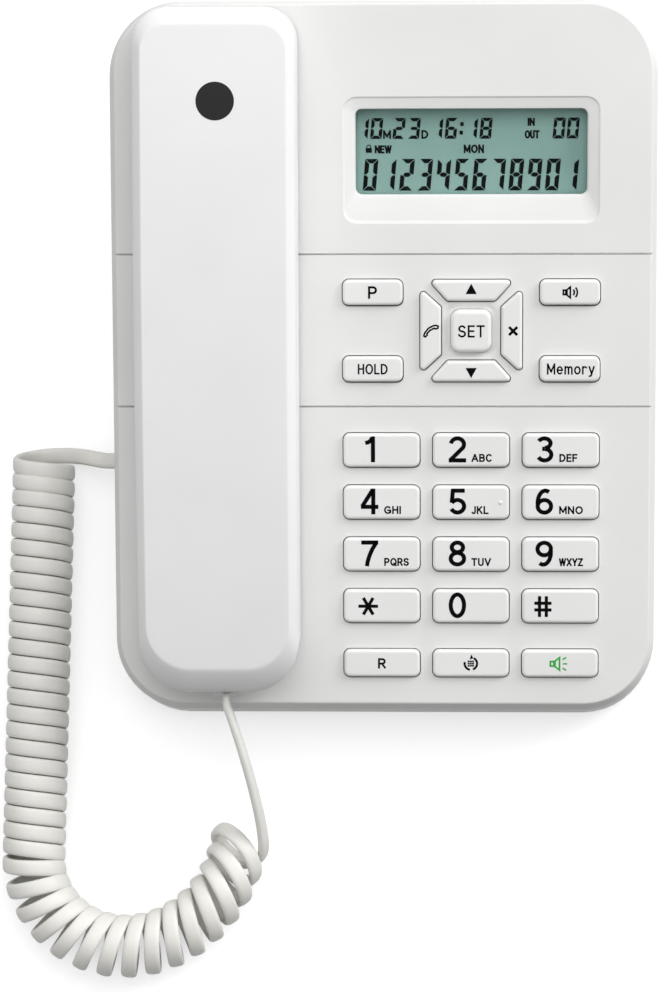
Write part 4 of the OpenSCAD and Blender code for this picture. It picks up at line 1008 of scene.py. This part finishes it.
def sideways(points, closed):
    """The sideways direction at each point of a line, longer at its corners."""
    ways = [left_of(side_dir(points, i)) for i in range(len(points))]
    made = []
    for i in range(len(points)):
        sides = [ways[i - 1], ways[i]]
        if not closed and i == 0:
            sides = [ways[0]]
        if not closed and i == len(points) - 1:
            sides = [ways[i - 1]]
        side = sum(sides, Vector((0, 0))).normalized()
        made.append(side / max(side.dot(sides[0]), 1 / LONGEST_CORNER))
    return made


def stroke(skin, points, line, span, closed=False, cap=0.0):
    """A line of even thickness drawn on the face, as a thin plate, with its free ends drawn out."""
    points = [Vector(p) for p in points]
    if not closed:
        first, last = points[0] - points[1], points[-1] - points[-2]
        points[0] = points[0] + cap * first.normalized()
        points[-1] = points[-1] + cap * last.normalized()
    sides = sideways(points, closed)
    left = [p + line / 2 * side for p, side in zip(points, sides)]
    right = [p - line / 2 * side for p, side in zip(points, sides)]
    low, high = span
    if closed:
        edges = ((left, low), (left, high), (right, high), (right, low))
        first, last = skin.loft([face_loop(edge, (0, 0), w) for edge, w in edges])
        skin.bridge(last, first)
        return
    outline = left + right[::-1]
    for ring in skin.loft([face_loop(outline, (0, 0), w) for w in span]):
        skin.ladder(ring)


def bowl(width, low, high):
    """The round side of a letter such as P."""
    ry = (high - low) / 2
    rx = BOWL_SHARE * ry
    return [(0, high), *oval(width - rx, low + ry, rx, ry, 90, -90, BOWL_STEPS), (0, low)]


def ring_of(x, y, rx, ry):
    """A closed oval, whose last point is its first."""
    return oval(x, y, rx, ry, steps=RING_STEPS)


STEM = [(0, 0), (0, 1)]
# Letters as strokes, with the height of a capital as one
GLYPHS = {
    "A": [[(0, 0), (0.38, 1)], [(0.38, 1), (0.76, 0)], [(0.14, 0.32), (0.62, 0.32)]],
    "B": [STEM, bowl(0.56, 0.5, 1), bowl(0.6, 0, 0.54)],
    "C": [oval(0.36, 0.5, 0.36, 0.5, 48, 312)],
    "D": [STEM, bowl(0.66, 0, 1)],
    "E": [STEM, [(0, 1), (0.5, 1)], [(0, 0.52), (0.46, 0.52)], [(0, 0), (0.5, 0)]],
    "F": [STEM, [(0, 1), (0.5, 1)], [(0, 0.5), (0.44, 0.5)]],
    "G": [oval(0.37, 0.5, 0.37, 0.5, 48, 340), [(0.4, 0.46), (0.72, 0.46), (0.72, 0.1)]],
    "H": [STEM, [(0.6, 0), (0.6, 1)], [(0, 0.52), (0.6, 0.52)]],
    "I": [STEM],
    "J": [[(0.4, 1), (0.4, 0.24), *oval(0.2, 0.22, 0.2, 0.22, 0, -150, 8)]],
    "K": [STEM, [(0.54, 1), (0.02, 0.42)], [(0.2, 0.6), (0.58, 0)]],
    "L": [STEM, [(0, 0), (0.48, 0)]],
    "M": [STEM, [(0, 1), (0.38, 0.2)], [(0.38, 0.2), (0.76, 1)], [(0.76, 1), (0.76, 0)]],
    "N": [STEM, [(0, 1), (0.6, 0)], [(0.6, 0), (0.6, 1)]],
    "O": [ring_of(0.38, 0.5, 0.38, 0.5)],
    "P": [STEM, bowl(0.58, 0.45, 1)],
    "Q": [ring_of(0.38, 0.5, 0.38, 0.5), [(0.46, 0.24), (0.76, -0.04)]],
    "R": [STEM, bowl(0.58, 0.47, 1), [(0.3, 0.47), (0.6, 0)]],
    "S": [oval(0.3, 0.75, 0.27, 0.25, 25, 262, 14) + oval(0.3, 0.25, 0.3, 0.25, 82, -160, 14)],
    "T": [[(0, 1), (0.62, 1)], [(0.31, 1), (0.31, 0)]],
    "U": [[(0, 1), *oval(0.3, 0.3, 0.3, 0.3, 180, 360, 12), (0.6, 1)]],
    "V": [[(0, 1), (0.35, 0)], [(0.35, 0), (0.7, 1)]],
    "W": [[(0, 1), (0.24, 0)], [(0.24, 0), (0.48, 1)], [(0.48, 1), (0.72, 0)], [(0.72, 0), (0.96, 1)]],
    "X": [[(0, 0), (0.62, 1)], [(0, 1), (0.62, 0)]],
    "Y": [[(0, 1), (0.32, 0.44)], [(0.64, 1), (0.32, 0.44)], [(0.32, 0.46), (0.32, 0)]],
    "Z": [[(0, 1), (0.58, 1)], [(0.58, 1), (0, 0)], [(0, 0), (0.6, 0)]],
    "e": [[(0, 0.37), (0.52, 0.37)], oval(0.27, 0.36, 0.27, 0.36, 0, 310)],
    "m": [
        [(0, 0), (0, 0.72)],
        [*oval(0.19, 0.47, 0.19, 0.25, 180, 0, 10), (0.38, 0)],
        [*oval(0.57, 0.47, 0.19, 0.25, 180, 0, 10), (0.76, 0)],
    ],
    "o": [ring_of(0.28, 0.36, 0.28, 0.36)],
    "r": [[(0, 0), (0, 0.72)], oval(0.24, 0.44, 0.24, 0.28, 180, 50, 8)],
    "y": [[(0, 0.72), (0.26, 0.02)], [(0.52, 0.72), (0.2, -0.2), (0.04, -0.26)]],
}


def strokes(skin, parts, line, span, at, scale=(1, 1), cap=0.0):
    """Strokes drawn on the face, scaled and then moved to a place."""
    for part in parts:
        points = [(at[0] + scale[0] * x, at[1] + scale[1] * y) for x, y in part]
        closed = dist(part[0], part[-1]) < TOUCHING
        stroke(skin, points[:-1] if closed else points, line, span, closed, cap)


def letters(skin, word, left, low, width, height, span, line):
    """A word whose capitals fill a box on the face. Its strokes stay inside the box."""
    glyphs = [GLYPHS[letter] for letter in word]
    widths = [max(p[0] for part in glyph for p in part) for glyph in glyphs]
    across = (width - line) / (sum(widths) + LETTER_SPACE * (len(word) - 1))
    x, y = left + line / 2, low + line / 2
    for glyph, glyph_w in zip(glyphs, widths):
        strokes(skin, glyph, line, span, (x, y), (across, height - line), CAP_SHARE * line)
        x += across * (glyph_w + LETTER_SPACE)


LCD_WORDS = (
    ("M", -24.4, 3.42, 2.2, 2.4), ("D", -13.8, 3.42, 1.9, 2.4), ("IN", 15.5, 6.9, 2.0, 2.2),
    ("OUT", 14.7, 3.42, 4.1, 2.3), ("NEW", -26.7, -0.55, 4.7, 2.2), ("MON", -2.1, -0.55, 5.6, 2.35),
)
LCD_LINE = 0.5
for word, u, v, width, height in LCD_WORDS:
    left, low = WINDOW_MID + Vector((u, v))
    letters(segments, word, left, low, width, height, segment_span, LCD_LINE)
piece("lcd_segments", segments, SEGMENT_DARK, body="base")

# Legends on the keys. Each box is left, low, width and height, from the middle of the key.
LEGEND_RISE = 0.03
LEGEND_SINK = 0.02
DIGIT_H = 6.9
DIGIT_LINE = 1.17
DIGIT_BASE = -3.3
DIGIT_SCALE = 1.05
LETTER_BASE = -3.2
LETTER_H = 2.25
LETTER_LINE = 0.45
DIGIT_MIDS = (-3.35, -3.77, -4.5)
LETTER_LEFTS = (0.7, 0.1, -0.4)
SIX = [ring_of(0, 2.2, 1.77, 1.68), oval(0.25, 3.1, 2.02, 3.28, 195, 62)]
# Digits as strokes, in millimetres from the middle of their foot
DIGITS = {
    "0": [ring_of(0, 3.45, 1.77, 2.92)],
    "1": [[(0.95, 0), (0.95, DIGIT_H)], [(-1.1, 5.15), (-0.35, 5.3), (0.3, 5.7), (0.7, 6.5)]],
    "2": [oval(0, 4.78, 1.72, 1.6, 172, -38) + [(-1.72, 0.75)], [(-2.3, 0.52), (2.3, 0.52)]],
    "3": [
        oval(-0.05, 5.1, 1.62, 1.28, 155, -85),
        oval(0, 2.05, 1.77, 1.53, 85, -155),
        [(-0.65, 3.6), (0.1, 3.6)],
    ],
    "4": [[(1.0, 0), (1.0, DIGIT_H)], [(-2.3, 2.0), (2.35, 2.0)], [(-1.95, 2.1), (0.85, 6.6)]],
    "5": [[(-1.5, 6.37), (1.95, 6.37)], [(-1.18, 6.8), (-1.5, 3.1)], oval(0, 2.2, 1.77, 1.68, 148, -155)],
    "6": SIX,
    "7": [[(-2.25, 6.37), (2.28, 6.37)], [(1.75, 6.3), (0.75, 4.7), (0.0, 3.0), (-0.5, 1.4), (-0.75, 0)]],
    "8": [ring_of(0, 5.1, 1.5, 1.28), ring_of(0, 2.08, 1.77, 1.56)],
    "9": [[(-x, DIGIT_H - y) for x, y in part] for part in SIX],
}
LETTERS = {
    "2": ("ABC", 5.6), "3": ("DEF", 5.0), "4": ("GHI", 4.7), "5": ("JKL", 4.8),
    "6": ("MNO", 6.6), "7": ("PQRS", 6.9), "8": ("TUV", 5.5), "9": ("WXYZ", 6.7),
}
WORDS = {
    "key_pause": ("P", -1.25, -1.75, 2.5, 3.5, 0.6),
    "key_hold": ("HOLD", -4.15, -1.45, 8.3, 2.95, 0.46),
    "key_memory": ("Memory", -6.3, -1.5, 13.2, 3.1, 0.46),
    "key_set": ("SET", -3.65, -1.7, 7.4, 3.4, 0.5),
    "key_recall": ("R", -1.1, -1.47, 2.2, 2.95, 0.55),
}


def legend_span(name):
    cap = KEYS[name][2]
    return cap - LEGEND_SINK, cap + LEGEND_RISE


def legend(name, skin, material=LEGEND_BLACK, slot="dark_plastic"):
    piece(f"{name}_legend", skin, material, body=name)


for names in DIGIT_ROWS:
    for column, name in enumerate(names):
        digit = name[-1]
        if digit not in DIGITS:
            continue
        mid = KEYS[name][0]
        span = legend_span(name)
        foot = mid + Vector((DIGIT_MIDS[column], DIGIT_BASE))
        skin = Skin()
        strokes(skin, DIGITS[digit], DIGIT_LINE, span, foot, (DIGIT_SCALE, DIGIT_SCALE))
        if digit in LETTERS:
            word, word_w = LETTERS[digit]
            left = mid.x + LETTER_LEFTS[column]
            low = mid.y + LETTER_BASE
            letters(skin, word, left, low, word_w, LETTER_H, span, LETTER_LINE)
        legend(name, skin)
for name, (word, left, low, width, height, line) in WORDS.items():
    mid = KEYS[name][0]
    skin = Skin()
    letters(skin, word, mid.x + left, mid.y + low, width, height, legend_span(name), line)
    legend(name, skin)

# Icons on the keys, and how far each stands from the middle of its key
ICON_OFFSETS = {
    "key_star": (-3.8, 0), "key_hash": (-4.8, 0), "key_up": (0, 0.4), "key_down": (0, -0.4),
    "key_answer": (0.1, 0), "key_cancel": (0.4, 0), "key_volume": (-2.1, 0), "key_speaker": (-2.9, 0),
    "key_redial": (0, 0),
}


def icon_mid(name):
    return KEYS[name][0] + Vector(ICON_OFFSETS[name])


def icon(name, shapes, **look):
    """A legend made of plates: each shape is an outline about the icon's middle, and then its holes."""
    at = icon_mid(name)
    skin = Skin()
    for shape in shapes:
        loops = [[(at.x + p[0], at.y + p[1]) for p in loop] for loop in shape]
        flat_plate(skin, legend_span(name), *loops)
    legend(name, skin, **look)


def star(arms, length, line):
    """Bars that cross in the middle, as one outline."""
    half = line / 2
    notch = half / sin(pi / arms)
    made = []
    for k in range(arms):
        angle = 360 * k / arms
        made += [turned((length, -half), angle), turned((length, half), angle)]
        made.append(turned((notch, 0), angle + 180 / arms))
    return made


STAR = (6, 2.75, 0.9)
CROSS = (4, 1.6, 0.75)
CROSS_TURN = 45
icon("key_star", [[star(*STAR)]])
icon("key_cancel", [[[turned(p, CROSS_TURN) for p in star(*CROSS)]]])


def hash_outline(half_w, half_h, bar, line):
    """Two bars across and two bars up, as one outline with a square hole."""
    inner, outer = bar - line / 2, bar + line / 2
    quarter = [(inner, -outer), (inner, -half_h), (outer, -half_h), (outer, -outer), (half_w, -outer)]
    quarter += [(half_w, -inner), (outer, -inner)]
    right_half = quarter + upended(quarter)
    return [right_half + mirrored(right_half), box_points(2 * inner, 2 * inner)]


HASH = (2.4, 2.95, 0.95, 0.9)
TRIANGLE = [(-1.55, -1.35), (1.55, -1.35), (0, 1.5)]
icon("key_hash", [hash_outline(*HASH)])
icon("key_up", [[TRIANGLE]])
icon("key_down", [[[turned(p, 180) for p in TRIANGLE]]])


def frame_of(outline, line):
    """An outline drawn as a line."""
    return [outline, grown(outline, -line)]


def speaker_shapes(box_w, box_h, cone_w, cone_h, line):
    """The line drawing of a small loudspeaker, with its left edge at zero."""
    lower = [(box_w, -box_h / 2), (box_w + cone_w, -cone_h / 2)]
    cone = lower + upended(lower)
    overlap = line / 3
    body = box_between(0, box_w + overlap, -box_h / 2, box_h / 2)
    return [frame_of(body, line), frame_of(cone, line)]


VOLUME_LINE = 0.48
VOLUME_SPEAKER = (1.0, 1.7, 1.4, 4.0, VOLUME_LINE)
WAVES_MID = (2.1, 0)
WAVES_R = (1.15, 2.0)
WAVES_ENDS = (-42, 42)
volume = speaker_shapes(*VOLUME_SPEAKER)
volume += [[arc_band(WAVES_MID, r, VOLUME_LINE, *WAVES_ENDS)] for r in WAVES_R]
icon("key_volume", volume)
HANDS_FREE_SPEAKER = (1.3, 1.8, 1.75, 4.6, 0.5)
RAY = box_between(0, 1.2, -0.22, 0.22)
RAYS = ((32, (3.65, 1.2)), (0, (3.75, 0)), (-32, (3.65, -1.2)))
hands_free = speaker_shapes(*HANDS_FREE_SPEAKER)
hands_free += [[[turned(p, angle) + Vector(start) for p in RAY]] for angle, start in RAYS]
icon("key_speaker", hands_free, material=LEGEND_GREEN, slot="cell_jacket")

REDIAL_R = 1.75
REDIAL_LINE = 0.62
ARROW = [(-0.35, 1.15), (0.15, 2.6), (0.75, 1.5)]
REDIAL_ARCS = ((-70, 62), (165, 262))
REDIAL_DOT = (0.54, 0.48)
DOTS_AT = (-0.62, 0.0, 0.62)
redial = [[arc_band((0, 0), REDIAL_R, REDIAL_LINE, *ends)] for ends in REDIAL_ARCS] + [[ARROW]]
redial += [[[(x + u, y + v) for u, v in box_points(*REDIAL_DOT)]] for x in DOTS_AT for y in DOTS_AT]
icon("key_redial", redial)
PHONE_LINE = 0.48
PHONE_OUTLINE = [
    (-2.0, -1.35), (-1.6, -1.6), (-1.05, -1.15), (-1.15, -0.75), (-0.4, 0.1), (0.85, 0.8), (1.2, 0.6),
    (1.9, 0.8), (2.0, 1.35), (1.4, 1.6), (0.55, 1.45), (-0.75, 0.75), (-1.7, -0.45), (-2.0, -1.35),
]
phone_skin = Skin()
strokes(phone_skin, [PHONE_OUTLINE], PHONE_LINE, legend_span("key_answer"), icon_mid("key_answer"))
legend("key_answer", phone_skin)

# Materials for the nodes of the frame that stay in view or lie inside
NODES_OF = (
    (SHELL_WHITE, ("bottom_shell", "battery_door")),
    (HANDSET_WHITE, ("handset_front",)),
    (KEY_WHITE, ("hook_plunger",)),
    (LCD_TEAL, ("lcd_panel",)),
    (INNER_PLASTIC, ("lcd_holder",)),
    (BOARD_GREEN, ("main_board",)),
    (MAT_RUBBER, ("keypad_mat",)),
    (SPEAKER_DARK, ("loudspeaker",)),
    (CELL_JACKET, ("battery_cells",)),
    (PLUG_CLEAR, ("base_plug", "handset_plug")),
    (FOOT_RUBBER, ("rubber_feet", "microphone_boot")),
    (DARK_PLASTIC, ("hook_switch", "line_jack", "base_cord_jack", "handset_cord_jack", "earpiece")),
    (STEEL, ("hook_spring", "battery_contacts", "microphone", "handset_weight")),
    (STEEL, ("base_screws", "board_screws", "display_screws", "handset_screws")),
)
JOINS_WITHIN = 0.002 * MM


def smoothing():
    """A node group that joins a node's split points and shades it smooth but for its edges."""
    group = bpy.data.node_groups.new("smoothing", "GeometryNodeTree")
    for way in ("INPUT", "OUTPUT"):
        group.interface.new_socket("Geometry", in_out=way, socket_type="NodeSocketGeometry")
    shape = add_node(group, "NodeGroupInput").outputs[0]
    steps = (
        ("GeometryNodeRemoveAttribute", {"Name": "custom_normal"}),
        ("GeometryNodeMergeByDistance", {"Distance": JOINS_WITHIN}),
        ("GeometryNodeSetShadeSmooth", {}),
    )
    for kind, inputs in steps:
        shape = add_node(group, kind, {"Geometry": shape, **inputs}).outputs["Geometry"]
    angle = add_node(group, "GeometryNodeInputMeshEdgeAngle").outputs["Unsigned Angle"]
    small = add_node(group, "FunctionNodeCompare", {"A": angle, "B": SHARP_ANGLE}, operation="LESS_THAN")
    inputs = {"Geometry": shape, "Shade Smooth": small.outputs["Result"]}
    edges = add_node(group, "GeometryNodeSetShadeSmooth", inputs, domain="EDGE")
    add_node(group, "NodeGroupOutput", {0: edges.outputs["Geometry"]})
    return group


smooth_group = smoothing()
for material, names in NODES_OF:
    for name in names:
        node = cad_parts[name]
        node.data.materials.clear()
        node.data.materials.append(material)
        node.modifiers.new("smoothing", "NODES").node_group = smooth_group

# Floor and light, in metres
FLOOR_SIZE = 6.0
FLOOR_COLOUR = 0.7
FLOOR_BOUNCE = 0.06
FLOOR_GLOW = 0.58
FLOOR_ROUGHNESS = 0.9
WHITE = (1, 1, 1, 1)

floor_mesh = bpy.data.meshes.new("floor")
floor_corners = [(x, y, 0) for x, y in box_points(FLOOR_SIZE, FLOOR_SIZE)]
floor_mesh.from_pydata(floor_corners, [], [(0, 1, 2, 3)])
floor = placed("floor", floor_mesh)


def seen(tree):
    """One for the rays that show the background, straight, mirrored or through something clear."""
    rays = add_node(tree, "ShaderNodeLightPath").outputs
    mirrored = compute(tree, "MAXIMUM", rays["Is Camera Ray"], rays["Is Glossy Ray"])
    return compute(tree, "MAXIMUM", mirrored, rays["Is Transmission Ray"])


floor_material, floor_tree, floor_shader = new_material("floor")
floor_seen = seen(floor_tree)
tones = {"Value": floor_seen, "To Min": FLOOR_BOUNCE, "To Max": FLOOR_COLOUR}
floor_inputs = {
    "Base Color": add_node(floor_tree, "ShaderNodeMapRange", tones).outputs["Result"],
    "Roughness": FLOOR_ROUGHNESS,
    "Specular IOR Level": 0.0,
    "Emission Color": WHITE,
    "Emission Strength": compute(floor_tree, "MULTIPLY", floor_seen, FLOOR_GLOW),
}
set_inputs(floor_tree, floor_shader, floor_inputs)
floor_mesh.materials.append(floor_material)

WORLD_LIGHT = 0.745
# The world dims towards the front, by this share at the horizon.
FRONT_DIMS_BY = 0.95
world = bpy.data.worlds.new("world")
bpy.context.scene.world = world
world.use_nodes = True
sky = world.node_tree
ray = add_node(sky, "ShaderNodeTexCoord").outputs["Generated"]
to_rear = add_node(sky, "ShaderNodeVectorMath", {0: ray, 1: (0, 1, 0)}, operation="DOT_PRODUCT")
to_front = compute(sky, "MINIMUM", to_rear.outputs["Value"], 0.0)
light = compute(sky, "MULTIPLY_ADD", to_front, WORLD_LIGHT * FRONT_DIMS_BY, WORLD_LIGHT)
shown = add_node(sky, "ShaderNodeMapRange", {"Value": seen(sky), "To Min": light, "To Max": 1.0})
set_inputs(sky, sky.nodes["Background"], {"Color": WHITE, "Strength": shown.outputs["Result"]})

# Two soft lamps: where each stands, its size and its power in watts
LAMPS_AIM_AT = Vector((0, 0, 0.05))
LAMPS = {
    "overhead": (Vector((0, 0.45, 1.15)), 1.0, 4.5),
    "from_the_right": (Vector((1.0, 0.65, 0.63)), 0.8, 9.9),
}
for name, (place, size, power) in LAMPS.items():
    lamp = bpy.data.lights.new(name, "AREA")
    lamp.shape = "DISK"
    lamp.size = size
    lamp.energy = power
    lamp_object = placed(name, lamp)
    lamp_object.location = place
    lamp_object.rotation_euler = (LAMPS_AIM_AT - place).to_track_quat("-Z", "Y").to_euler()
